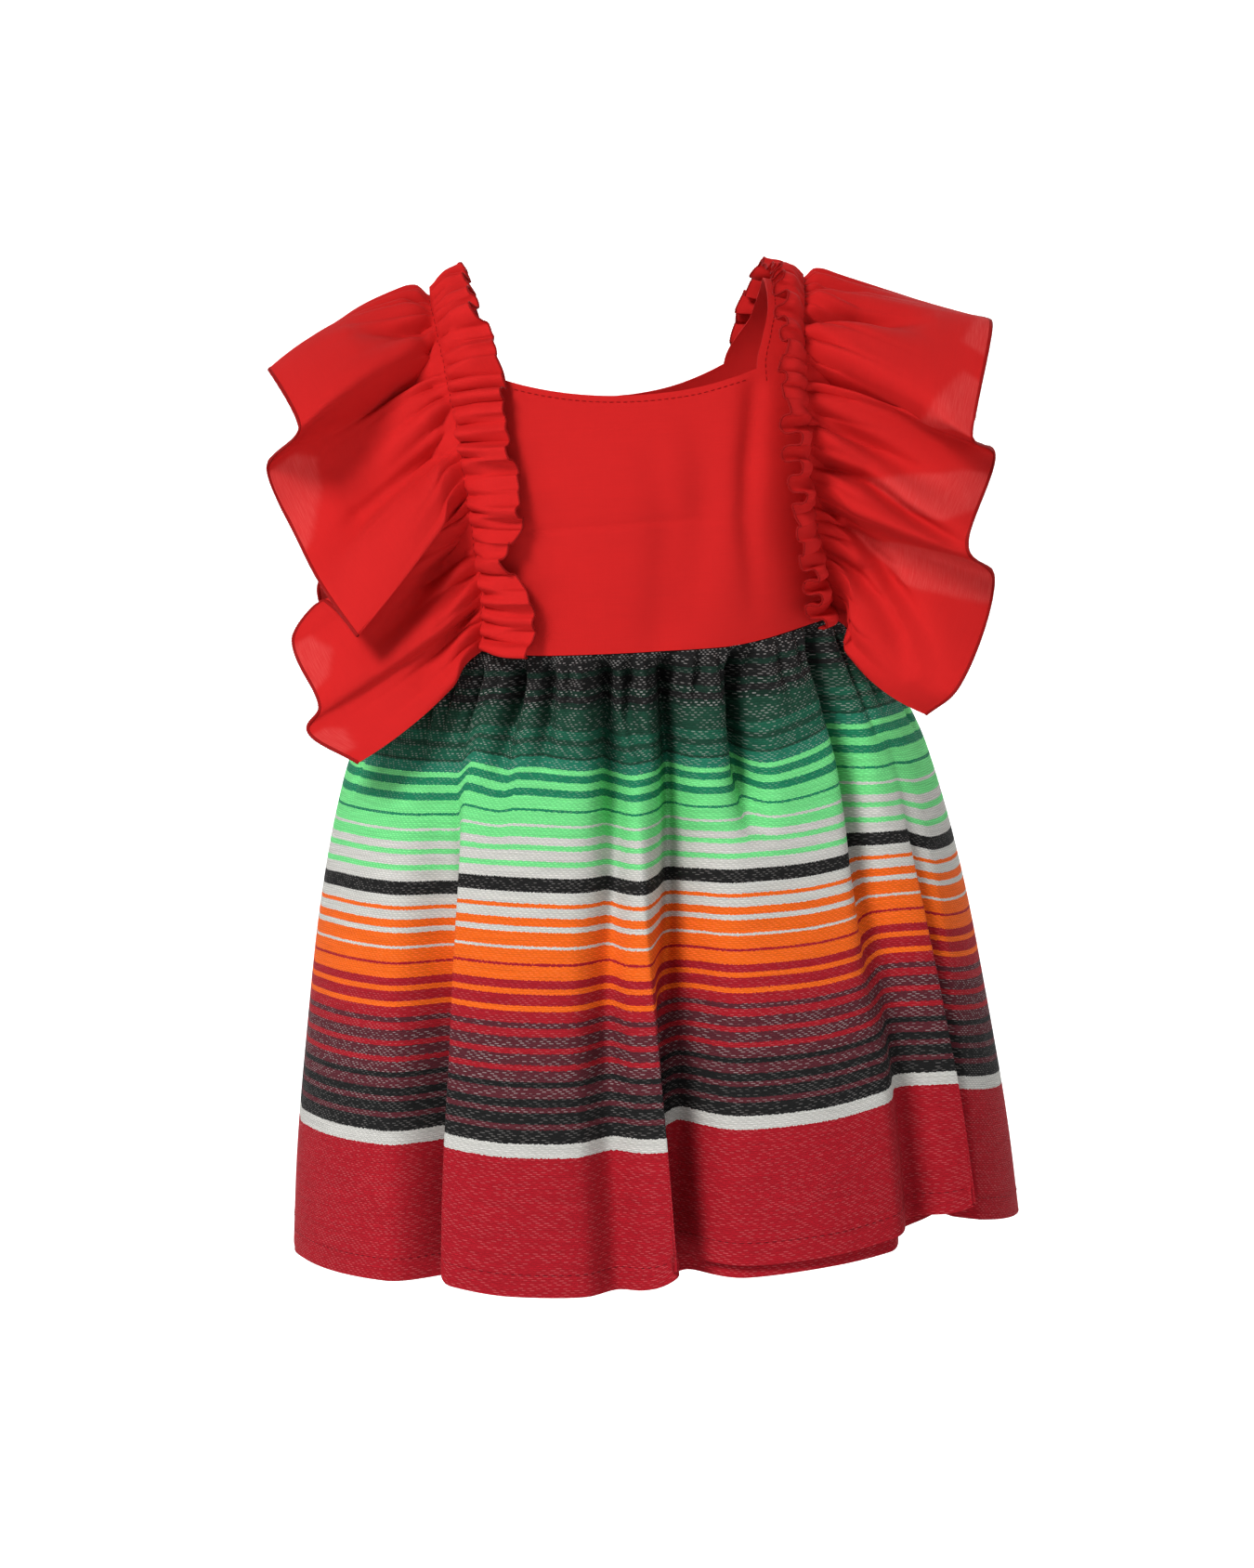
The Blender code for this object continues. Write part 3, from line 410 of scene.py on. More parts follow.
CAMERA_TURN, CAMERA_RISE, CAMERA_ROLL = -5.0, 8.7, 2.4
CAMERA_DISTANCE, CAMERA_TARGET, CAMERA_LENS = 2.8, (0.0, 0.0, -0.25), 133.41
CAMERA_SHIFT = (-12 / 1688, 17 / 1688)
# Half sizes and heights of the floor and of the rim that rises round it
FLOOR, FLOOR_RIM = (14.0, -1.2), (30.0, 3.0)
LIGHTS = (
    ("key_light", (-0.88, -1.0, 1.14), 2.78, 19.0),
    ("fill_light", (0.9, -0.9, 0.25), 0.12, 70.0),
    ("back_light", (0.4, 1.0, 0.6), 1.2, 50.0),
)
DAYLIGHT = 0.13


def smooth(rows, at, column):
    """A column's value along its table's first column, on a smooth curve through the rows."""
    places = np.array([row[0] for row in rows], dtype=float)
    values = np.array([getattr(row, column) for row in rows], dtype=float)
    rises = np.diff(values) / np.diff(places)
    before, after = rises[:-1], rises[1:]
    same_way = before * after > 0
    slopes = np.empty_like(values)
    slopes[0], slopes[-1] = rises[0], rises[-1]
    slopes[1:-1] = np.where(same_way, 2 * before * after / np.where(same_way, before + after, 1), 0)
    low = np.clip(np.searchsorted(places, at, side="right") - 1, 0, len(places) - 2)
    span = places[low + 1] - places[low]
    t = (at - places[low]) / span
    ends = values[low] * (1 + 2 * t) * (1 - t) ** 2 + values[low + 1] * t * t * (3 - 2 * t)
    return ends + span * (slopes[low] * t * (1 - t) ** 2 - slopes[low + 1] * t * t * (1 - t))


def ease(t):
    """Smooth step from 0 to 1."""
    t = np.clip(t, 0.0, 1.0)
    return t * t * (3 - 2 * t)


def points(x, y, z):
    """Coordinates joined into one array of points."""
    return np.stack(np.broadcast_arrays(x, y, z), axis=-1)


def unit(vectors):
    """Vectors scaled to length 1."""
    return vectors / np.maximum(np.linalg.norm(vectors, axis=-1, keepdims=True), 1e-12)


def outward_normals(grid, guide):
    """Normals of a grid of points, turned to the side that the guide's directions point to."""
    normals = unit(np.cross(np.gradient(grid, axis=1), np.gradient(grid, axis=0)))
    return normals * np.sign(np.sum(normals * guide))


def section_fall(angle, squareness):
    """How far a section falls away from its middle, 1 in front and -1 behind."""
    rest = np.clip(1 - np.abs(np.sin(angle)) ** squareness, 0.0, 1.0)
    return np.sign(np.cos(angle)) * rest ** (1 / squareness)


def waist_rise(angle, behind):
    """How far the waist seam curves up towards the sides."""
    turned = np.degrees(angle)
    rise = (WAIST_RISE_RIGHT * ease((turned - 18) / 40)
            + WAIST_RISE_LEFT * ease((-turned - 25) / 40))
    return rise * np.where(behind, ease((np.abs(turned) - 40) / 45), 1.0)


def bodice_surface(angle, path):
    """Outside of the bodice by the angle round the body and the path over the shoulder."""
    half_width = smooth(BODICE, path, "half_width")
    fall = section_fall(angle, smooth(BODICE, path, "squareness"))
    x = half_width * np.sin(angle)
    near_top = 1 - ease(np.abs(path) / SHOULDER_SLOPE_REACH)
    slope = SHOULDER_SLOPE * near_top * np.clip(np.abs(x) - SHOULDER_SLOPE_FROM, 0, None)
    low = ease((np.abs(path) - BODICE_RISE_FROM) / (WAIST - BODICE_RISE_FROM))
    rise = waist_rise(angle, np.asarray(path) > 0) * low
    return points(x, smooth(BODICE, path, "depth") * fall, smooth(BODICE, path, "z") - slope + rise)


def bodice_normals(angle, path, step=1e-5):
    """Outward normals of the bodice, in front and behind."""
    across = bodice_surface(angle + step, path) - bodice_surface(angle - step, path)
    along = bodice_surface(angle, path + step) - bodice_surface(angle, path - step)
    return unit(np.cross(across, along))


def angle_at(x, path):
    """Angle round the body of a place x metres from the middle."""
    return np.arcsin(x / smooth(BODICE, path, "half_width"))


def gather_phase(share, count, swings=SWINGS):
    """Phase of uneven gathers along an edge."""
    turn = 2 * math.pi * share
    return count * (turn + sum(size * np.sin(times * turn) for times, size in swings))


def creased(creases, a, b, a_size, b_size):
    """Depth of all creases at places of the flat cloth, and how far they lean sideways in a."""
    depth, lean = np.zeros_like(a), np.zeros_like(a)
    x, y = a * a_size, b * b_size
    for crease in creases:
        nearest = np.full_like(a, np.inf)
        strength, side = np.zeros_like(a), np.zeros_like(a)
        for (a0, b0, s0), (a1, b1, s1) in zip(crease.line, crease.line[1:]):
            x0, y0, dx, dy = a0 * a_size, b0 * b_size, (a1 - a0) * a_size, (b1 - b0) * b_size
            length = math.hypot(dx, dy)
            t = np.clip(((x - x0) * dx + (y - y0) * dy) / length ** 2, 0, 1)
            away_x, away_y = x - x0 - t * dx, y - y0 - t * dy
            away = np.hypot(away_x, away_y)
            closer = away < nearest
            nearest = np.where(closer, away, nearest)
            strength = np.where(closer, s0 + (s1 - s0) * t, strength)
            side = np.where(closer, away_x, side)
        reach = nearest / crease.width
        bell = strength * np.exp(-reach ** 2)
        depth += crease.depth * bell
        sideways = np.clip(side / crease.width, -1, 1) * strength
        lean -= crease.lap * sideways * np.exp(-(reach - 0.9) ** 2)
    return depth, lean


def skirt_surface(share, down, creases):
    """Outside of the skirt. Share runs 0 to 1 over the front and 1 to 2 over the back."""
    behind = share > 1.0
    place = np.where(behind, share - 1.0, share)
    drop = np.clip(down, 0.0, None)
    trough, lean = creased(creases, place, down, PANEL_WIDTH, 1.0)
    place = np.clip(place + lean / PANEL_WIDTH, 0.0, 1.0)
    start = smooth(ROLLS, place, "start")
    grown = ease((drop / SKIRT_LENGTH - start) / (1 - start))
    even = np.radians(180.0 * place - 90.0)
    angle = even + grown * (np.radians(smooth(ROLLS, place, "angle")) - even)
    half_width = smooth(SKIRT, drop, "half_width")
    depth = np.where(behind, smooth(SKIRT, drop, "back"), smooth(SKIRT, drop, "front"))
    out = unit(points(depth * np.sin(angle), -half_width * np.cos(angle), 0.0))
    fine = np.abs(np.sin(gather_phase(place, PLEATS, FINE_SWINGS)))
    pleats = PLEAT_DEPTH * fine ** 0.7 * np.exp(-drop / PLEAT_FADE)
    free = ease(drop / 0.008)
    swell = grown * smooth(ROLLS, place, "height") + free * PUFF * np.exp(-drop / PUFF_FADE)
    pressed = SEAM_PRESS + (1 - SEAM_PRESS) * ease(drop / 0.012)
    swell = swell + pleats * (0.45 + 0.55 * free) - trough * pressed
    tuck = 0.0022 * ease(-down / 0.0012)
    base = points(half_width * np.sin(angle), -depth * section_fall(angle, SKIRT_SQUARENESS),
                  smooth(SKIRT, drop, "z") + grown * smooth(ROLLS, place, "lift") + (drop - down))
    cloth = base + out * (swell - tuck)[..., None]
    near_hem = ease(1 - (SKIRT_LENGTH - down) / HEM_RISE_REACH)
    spin = np.where(behind, -1.0, 1.0)
    cloth[..., 2] += smooth(HEM_RISES, place, "rise") * near_hem
    cloth[..., 2] += waist_rise(angle * spin, behind) * (1 - ease(drop / SKIRT_RISE_REACH))
    return cloth * points(spin, spin, 1.0)


def ruffle_frame(side, share, inboard=0.0):
    """Point on the stitch line, or towards the neck from it, and the outward direction there."""
    path = (2 * share - 1) * STRIP_END
    stitch_x = smooth(STITCHES, path, "right_x" if side > 0 else "left_x")
    angle = side * angle_at(stitch_x - inboard, path)
    return bodice_surface(angle, path), bodice_normals(angle, path)


def whole_strip(front, back):
    """Rows of a whole ruffle: its own front, then the other ruffle's front behind."""
    rows = list(front)
    for row in reversed(back[:-1]):
        turned = row._replace(share=1.0 - row.share)
        if isinstance(row, Flute):
            sunk = BACK_SINK * math.exp(-((row.share - 0.435) / 0.05) ** 2)
            turned = turned._replace(out=row.out * BACK_REACH, depth=-row.depth, z=row.z - sunk)
        rows.append(turned)
    return tuple(rows)


def ruffle_surface(side, share, across):
    """Outside of a ruffle: share along the strip, across from heading (-1) to edge (1)."""
    own = slice(None) if side < 0 else slice(None, None, -1)
    flutes = whole_strip(*(FLUTES_LEFT, FLUTES_RIGHT)[own])
    headings = whole_strip(*(HEADING_LEFT, HEADING_RIGHT)[own])
    front, back = (LEFT_CREASES, RIGHT_CREASES)[own]
    folds = front + tuple(fold._replace(line=tuple((1 - a, b, s) for a, b, s in fold.line))
                          for fold in back)
    inner, outer = np.clip(-across, 0.0, 1.0), np.clip(across, 0.0, 1.0)

    trough, lean = creased(folds, share, outer, CREASE_RUN, CREASE_REACH)
    lean = lean * ease(outer / 0.08) * ease((1 - outer) / 0.2)
    moved = np.clip(share + lean / CREASE_RUN, 0.0, 1.0)
    line, out = ruffle_frame(side, moved)
    ahead, _ = ruffle_frame(side, moved + 1e-4)
    behind, _ = ruffle_frame(side, moved - 1e-4)
    along = unit(ahead - behind)
    seat = line + out * SEAT
    phase = gather_phase(2 * share, LOOPS)
    tight = gather_phase(share, TIGHT_GATHERS, TIGHT_SWINGS)
    pleat = np.abs(np.sin(tight)) ** 0.7

    swing = 2 * math.pi * share
    reach, rise, deep, roll, curly, crumple = (smooth(headings, share, column)
                                               for column in Heading._fields[1:])
    open_out = ease(inner / 0.85)
    pinch = crumple * pleat * (1 - 0.65 * open_out)
    pinch = pinch * (0.80 + 0.45 * np.sin(9 * swing + 0.5) * np.sin(4 * swing + 2.0))
    under, off = ruffle_frame(side, share, reach * inner)
    toward = unit(under - line + 1e-9)
    lift = rise / np.hypot(rise, reach)
    flat_way = np.sqrt(1 - lift ** 2)
    puff = HEADING_PUFF * np.sin(math.pi * inner) ** 1.5
    height = SEAT + rise * inner ** HEADING_CURL + pinch + puff
    even = np.sin(phase) * (0.72 + 0.34 * np.sin(5 * swing + 1.0))
    loose = (0.62 * np.sin(0.57 * phase + 0.8)
             + 0.50 * np.sin(1.63 * phase + 1.1) * np.sin(3 * swing + 2.0))
    ripple = open_out * deep * (even * curly + loose * (1.25 - curly))
    frill = under + off * (height + ripple * flat_way)[..., None]
    frill = frill - toward * (ripple * lift)[..., None]
    frill = frill - along * (open_out * roll * np.sin(2 * phase))[..., None]

    out_to, depth, z, arch = (smooth(flutes, moved, column) for column in Flute._fields[1:])
    sweep = points(side * out_to, depth, z) - seat
    face = unit(side * np.cross(sweep, along))
    turned = unit(out + (face - out) * ease(outer / FLUTTER_TURN)[..., None])
    gathers = ((GATHER_START + GATHER_DEPTH * ease(outer / 0.07)) * pleat
               * np.exp(-outer / GATHER_FADE))
    beyond = np.exp(-((outer - 0.12).clip(0) / 0.35) ** 2)
    ripples = 0.0012 * np.sin(phase) * ease(outer / 0.12) * beyond
    bulge = arch * 4 * outer * (1 - outer) + gathers + ripples
    bulge = bulge - trough * ease((outer + 0.02) / 0.10) + 0.0020 * ease(outer / 0.15)
    flutter = seat + sweep * outer[..., None] + turned * bulge[..., None]
    return np.where((across < 0)[..., None], frill, clear_of_body(flutter, FLUTTER_GAP))


def clear_of_body(places, gap):
    """Places moved straight out of the bodice and the top of the skirt, to stay a gap away."""
    x, y, z = places[..., 0], places[..., 1], places[..., 2]
    ways = []
    for levels, column in ((BODICE[:8], 3), (BODICE[-1:6:-1], 4)):
        low = [(drop.z, drop.half_width + 0.003, drop[column] + 0.003, SKIRT_SQUARENESS)
               for drop in SKIRT[4:0:-1]]
        ways.append(np.array(low + [(level.z, level.half_width, abs(level.depth), level.squareness)
                                    for level in levels]).T)
    front, rear = ways
    half, depth, square = (np.where(y < 0, np.interp(z, front[0], front[k]),
                                    np.interp(z, rear[0], rear[k])) for k in (1, 2, 3))
    inside = (np.abs(x) / half) ** square + (np.abs(y) / np.maximum(depth, 1e-4)) ** square
    shrink = np.maximum(inside, 1e-9) ** (-1 / square)
    radius = np.hypot(x, y)
    short = np.clip(gap - radius * (1 - shrink), 0, 0.02) * ease((-0.012 - z) / 0.02)
    moved = places.copy()
    for k in (0, 1):
        moved[..., k] += places[..., k] / np.maximum(radius, 1e-6) * short
    return moved


def within_corners(corners, x, y, x_size, y_size, soft=0.0035):
    """Soft mask, 1 inside the corners of a flat patch and 0 outside it."""
    ends = [(a * x_size, b * y_size) for a, b in corners]
    crossings, nearest = np.zeros(x.shape, dtype=int), np.full(x.shape, np.inf)
    for (x0, y0), (x1, y1) in zip(ends, ends[1:] + ends[:1]):
        spans = (y0 > y) != (y1 > y)
        meets = x0 + (y - y0) * (x1 - x0) / ((y1 - y0) or 1e-12)
        crossings += spans & (x < meets)
        length = max((x1 - x0) ** 2 + (y1 - y0) ** 2, 1e-12)
        t = np.clip(((x - x0) * (x1 - x0) + (y - y0) * (y1 - y0)) / length, 0, 1)
        nearest = np.minimum(nearest, np.hypot(x - x0 - t * (x1 - x0), y - y0 - t * (y1 - y0)))
    signed = np.where(crossings % 2 == 1, nearest, -nearest)
    return ease(0.5 + signed / soft)


def refined(values, parts):
    """Values with each step between neighbours cut into equal parts."""
    values = np.array(values, dtype=float)
    at = np.linspace(0, len(values) - 1, (len(values) - 1) * parts + 1)
    return np.interp(at, np.arange(len(values)), values)


def panel_grid(edges, corner, dip, span):
    """Angles and paths of a bodice panel, and which of its cells are cloth."""
    sign = 1.0 if corner > 0 else -1.0
    body = refined([sign * row for row in BODY_ROWS] + [corner], FINER)
    strap = refined([corner] + [sign * row for row in STRAP_ROWS], FINER)[1:]
    half = MIDDLE_COLUMNS // 2
    steps = np.linspace(span[0], span[1], (span[1] - span[0]) * FINER + 1)
    path = np.concatenate([body, strap])[:, None] + 0 * steps
    neck = angle_at(smooth(edges, path, "neck_x"), path)
    outer = np.radians(smooth(edges, path, "edge"))
    middle = np.clip(steps / half, -1, 1)
    beyond = np.clip((np.abs(steps) - half) / SIDE_COLUMNS, 0, None)
    angles = np.sign(steps) * (neck * np.abs(middle) + (outer - neck) * beyond)
    fall = dip * (1 - middle * middle)
    level = path + sign * fall * (WAIST - np.abs(path)) / (WAIST - abs(corner))
    paths = np.where(np.abs(path) >= abs(corner), level, path)
    present = np.ones((len(path) - 1, len(steps) - 1), dtype=bool)
    between = np.minimum(np.abs(steps[:-1]), np.abs(steps[1:])) < half - 1e-9
    present[len(body) - 1:, between] = False
    return angles, paths, present


def link_piece(name, vertices, faces, uv=None, fields=None):
    """Mesh object from arrays of corners and quads, with its flat places and its own fields."""
    mesh = bpy.data.meshes.new(name)
    mesh.vertices.add(len(vertices))
    mesh.vertices.foreach_set("co", np.ascontiguousarray(vertices, dtype=np.float32).ravel())
    faces = np.asarray(faces, dtype=np.int32)
    sides = faces.shape[1]
    mesh.loops.add(faces.size)
    mesh.loops.foreach_set("vertex_index", faces.ravel())
    mesh.polygons.add(len(faces))
    mesh.polygons.foreach_set("loop_start", np.arange(len(faces), dtype=np.int32) * sides)
    if uv is not None:
        layer = mesh.uv_layers.new(name="cloth")
        layer.data.foreach_set("uv", uv[faces.ravel()].astype(np.float32).ravel())
    for title, values in (fields or {}).items():
        held = mesh.attributes.new(title, "FLOAT", "POINT")
        held.data.foreach_set("value", values.astype(np.float32))
    mesh.update(calc_edges=True)
    mesh.validate()
    mesh.shade_smooth()
    piece = bpy.data.objects.new(name, mesh)
    bpy.context.scene.collection.objects.link(piece)
    return piece


def cloth_shell(name, outside, outward, wall, flat, fields=None, present=None):
    """Closed thin cloth: outer and inner layer, and a rim round every edge."""
    rows, columns = outside.shape[:2]
    wall = np.broadcast_to(np.asarray(wall, dtype=float), (rows, columns))
    inside = outside - outward * wall[..., None]
    if present is None:
        present = np.ones((rows - 1, columns - 1), dtype=bool)
    number = np.arange(rows * columns).reshape(rows, columns)
    quads = np.stack([number[:-1, :-1], number[:-1, 1:], number[1:, 1:], number[1:, :-1]], axis=-1)
    middle = np.s_[: rows - 1, : columns - 1]
    facing = np.cross(outside[1:, 1:] - outside[:-1, :-1], outside[1:, :-1] - outside[:-1, 1:])
    if np.sum(facing * outward[middle] * present[..., None]) < 0:
        quads = quads[..., ::-1]
    quads = quads[present]
    total = rows * columns
    starts = quads.ravel()
    ends = np.roll(quads, -1, axis=1).ravel()
    keys = set(zip(starts.tolist(), ends.tolist()))
    rim = np.array([(e, s, s + total, e + total) for s, e in keys if (e, s) not in keys])
    rim = rim[np.lexsort((rim[:, 1], rim[:, 0]))]
    faces = np.concatenate([quads, quads[:, ::-1] + total, rim])
    vertices = np.concatenate([outside.reshape(-1, 3), inside.reshape(-1, 3)])
    places = np.concatenate([flat.reshape(-1, 2)] * 2)
    used = np.unique(faces)
    renumber = np.full(2 * total, -1)
    renumber[used] = np.arange(len(used))
    held = {title: np.tile(values.ravel(), 2)[used] for title, values in (fields or {}).items()}
    piece = link_piece(name, vertices[used], renumber[faces], places[used], held)
    piece.data.set_sharp_from_angle(angle=math.radians(60))
    return piece


def thread_way(line, up, pitch):
    """Evenly spaced places along a line, and the directions beside and above it there."""
    steps = np.linalg.norm(np.diff(line, axis=0), axis=1)
    length = np.concatenate([[0], np.cumsum(steps)])
    at = np.linspace(0, length[-1], max(int(length[-1] / pitch), 2) + 1)
    shares = np.linspace(0, length[-1], len(up))
    dense = np.stack([np.interp(at, length, line[:, k]) for k in range(3)], axis=-1)
    lifted = unit(np.stack([np.interp(at, shares, up[:, k]) for k in range(3)], axis=-1))
    ahead = unit(np.gradient(dense, axis=0))
    beside = unit(np.cross(ahead, lifted))
    return dense, beside, np.cross(beside, ahead)


def tube(spine, beside, above, wide, high, turn):
    """Rings of points round a line, from their half widths and half heights."""
    return (spine[:, None] + beside[:, None] * (wide * np.cos(turn))[..., None]
            + above[:, None] * (high * np.sin(turn))[..., None])


def tube_faces(count, sides, base=0):
    """Numbers of the points of some rings, and the faces between the rings."""
    number = base + np.arange(count * sides).reshape(count, sides)
    over = np.roll(number, -1, axis=1)
    return number, np.stack([number[:-1], over[:-1], over[1:], number[1:]], -1).reshape(-1, 4)


def turns(sides):
    """Angles of a ring's points."""
    return np.linspace(0, 2 * math.pi, sides, endpoint=False)


def swept_band(name, line, up, wide, high, sides, turn_length, ridge, pitch=0.0006):
    """Closed cord of thread round an edge, with slanting ridges for its turns."""
    dense, beside, above = thread_way(line, up, pitch)
    count, turn = len(dense), turns(sides)
    travel = np.arange(count) * pitch
    wave = 1 + ridge * np.sin(travel[:, None] * (2 * math.pi / turn_length) + turn)
    ring = tube(dense, beside, above, wide / 2 * wave, high / 2 * wave, turn)
    number, quads = tube_faces(count, sides)
    start, end = (np.append(edge, edge[0]) for edge in (number[0], number[-1]))
    tips = np.full((2, sides // 2), count * sides) + [[0], [1]]
    first = np.stack([tips[0], start[2::2], start[1::2], start[:-1:2]], axis=-1)
    last = np.stack([tips[1], end[:-1:2], end[1::2], end[2::2]], axis=-1)
    uv = np.zeros((count * sides + 2, 2))
    uv[:-2, 0] = np.repeat(travel, sides)
    uv[:-2, 1] = np.tile(turn, count) * wide / 2
    return link_piece(name, np.concatenate([ring.reshape(-1, 3), dense[[0, -1]]]),
                      np.concatenate([quads, first, last]), uv)


def stitch_row(name, lines, length=0.0024, gap=0.0008, radius=0.00022):
    """Row of sewn stitches: short rounded threads that dip into the cloth at both ends."""
    vertices, faces, base = [], [], 0
    sides, parts = 6, 6
    along = np.array((0.0, 0.12, 0.35, 0.65, 0.88, 1.0))
    lift = np.array((-0.9, 0.15, 0.9, 0.9, 0.15, -0.9))[:, None] * radius
    thin = np.array((0.35, 0.85, 1.0, 1.0, 0.85, 0.35))[:, None] * radius
    for line, up in lines:
        dense, beside, above = thread_way(line, up, (length + gap) / parts)
        for start in range(0, len(dense) - parts, parts):
            at = start + along * parts * length / (length + gap)
            low = np.clip(at.astype(int), 0, len(dense) - 2)
            part = (at - low)[:, None]
            spine = dense[low] * (1 - part) + dense[low + 1] * part + above[low] * lift
            ring = tube(spine, beside[low], above[low], thin, thin, turns(sides))
            number, quads = tube_faces(len(along), sides, base)
            vertices.append(ring.reshape(-1, 3))
            faces += [quads] + [edge[[[0, 1, 2, 3], [0, 3, 4, 5]]]
                                for edge in (number[0][::-1], number[-1])]
            base += len(along) * sides
    return link_piece(name, np.concatenate(vertices), np.concatenate(faces))


def dress_up(piece, material, nodes=()):
    """Give a piece its material, its body and the solids that it stands for."""
    piece.data.materials.append(material)
    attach(piece, BODY)
    if nodes:
        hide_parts(*nodes)
    return piece


def maths(operation, turned=False):
    """A method that adds a Math node."""
    def add_node(self, *others):
        values = (self, *others)[::-1] if turned else (self, *others)
        return self.shader.field("ShaderNodeMath", {"operation": operation},
                                 dict(enumerate(values)))
    return add_node


class Field:
    """A shader socket that takes part in sums."""

    def __init__(self, shader, socket):
        self.shader, self.socket = shader, socket

    __add__ = __radd__ = maths("ADD")
    __sub__, __rsub__ = maths("SUBTRACT"), maths("SUBTRACT", True)
    __mul__ = __rmul__ = maths("MULTIPLY")
    __truediv__, __gt__ = maths("DIVIDE"), maths("GREATER_THAN")
    floor, fract, sine, size = map(maths, ("FLOOR", "FRACT", "SINE", "ABSOLUTE"))

    def within(self, low, high):
        """Smooth step from 0 at low to 1 at high."""
        return self.shader.field("ShaderNodeMapRange", {"interpolation_type": "SMOOTHSTEP"},
                                 {"Value": self, "From Min": low, "From Max": high})


class Shader:
    """A material whose nodes are written as sums."""

    def __init__(self, name, **constants):
        self.material = bpy.data.materials.new(name)
        self.material.use_nodes = True
        self.tree = self.material.node_tree
        self.surface = self.tree.nodes["Principled BSDF"]
        for title, value in constants.items():
            self.surface.inputs[title.replace("_", " ")].default_value = value

    def node(self, kind, settings=None, sockets=None):
        """Add a node: first its settings, then the values or links of its sockets."""
        made = self.tree.nodes.new(kind)
        for title, value in (settings or {}).items():
            if title == "stops":
                ramp = made.color_ramp
                ramp.interpolation = "CONSTANT"
                while len(ramp.elements) < len(value):
                    ramp.elements.new(1.0)
                for element, (place, colour) in zip(ramp.elements, value):
                    element.position = place
                    element.color = colour
            else:
                setattr(made, title, value)
        for title, value in (sockets or {}).items():
            if isinstance(value, Field):
                self.tree.links.new(value.socket, made.inputs[title])
            else:
                made.inputs[title].default_value = value
        return made

    def field(self, kind, settings=None, sockets=None, output=0):
        """A node's output, ready for sums."""
        return Field(self, self.node(kind, settings, sockets).outputs[output])

    def mixed(self, share, first, second, blend="MIX"):
        """Colours mixed, or blended, by a share."""
        colours = [(*c, 1.0) if isinstance(c, (tuple, list)) and len(c) == 3 else c
                   for c in (first, second)]
        return self.field("ShaderNodeMix", {"data_type": "RGBA", "blend_type": blend},
                          {0: share, 6: colours[0], 7: colours[1]}, 2)

    def flat_place(self):
        """The cloth's own flat place, along and down, in millimetres."""
        flat = self.field("ShaderNodeUVMap", {"uv_map": "cloth"})
        parts = self.node("ShaderNodeSeparateXYZ", None, {0: flat}).outputs
        return Field(self, parts[0]) * 1000.0, Field(self, parts[1]) * 1000.0

    def place(self, x, y, z=0.0):
        """Numbers joined into a place."""
        return self.field("ShaderNodeCombineXYZ", None, {0: x, 1: y, 2: z})

    def shaded(self, colour, shade):
        """A colour made lighter or darker by a shade."""
        return self.mixed(1.0, colour, self.place(shade, shade, shade), "MULTIPLY")

    def noise(self, where, scale, detail=2.0, rough=0.5):
        """Soft noise, about 0 to 1."""
        return self.field("ShaderNodeTexNoise", None,
                          {"Vector": where, "Scale": scale, "Detail": detail, "Roughness": rough})

    def chance(self, where):
        """A random number for each whole place."""
        return self.field("ShaderNodeTexWhiteNoise", None, {"Vector": where})

    def attribute(self, title):
        """A field that the mesh carries."""
        return self.field("ShaderNodeAttribute", {"attribute_name": title}, None, 2)

    def finish(self, colour, roughness=None, height=None, depth=0.0002, strength=1.0):
        """Link what changes over the surface, and return the material."""
        self.tree.links.new(colour.socket, self.surface.inputs["Base Color"])
        if roughness is not None:
            self.tree.links.new(roughness.socket, self.surface.inputs["Roughness"])
        if height is not None:
            bump = self.field("ShaderNodeBump", None,
                              {"Height": height, "Distance": depth, "Strength": strength})
            self.tree.links.new(bump.socket, self.surface.inputs["Normal"])
        return self.material


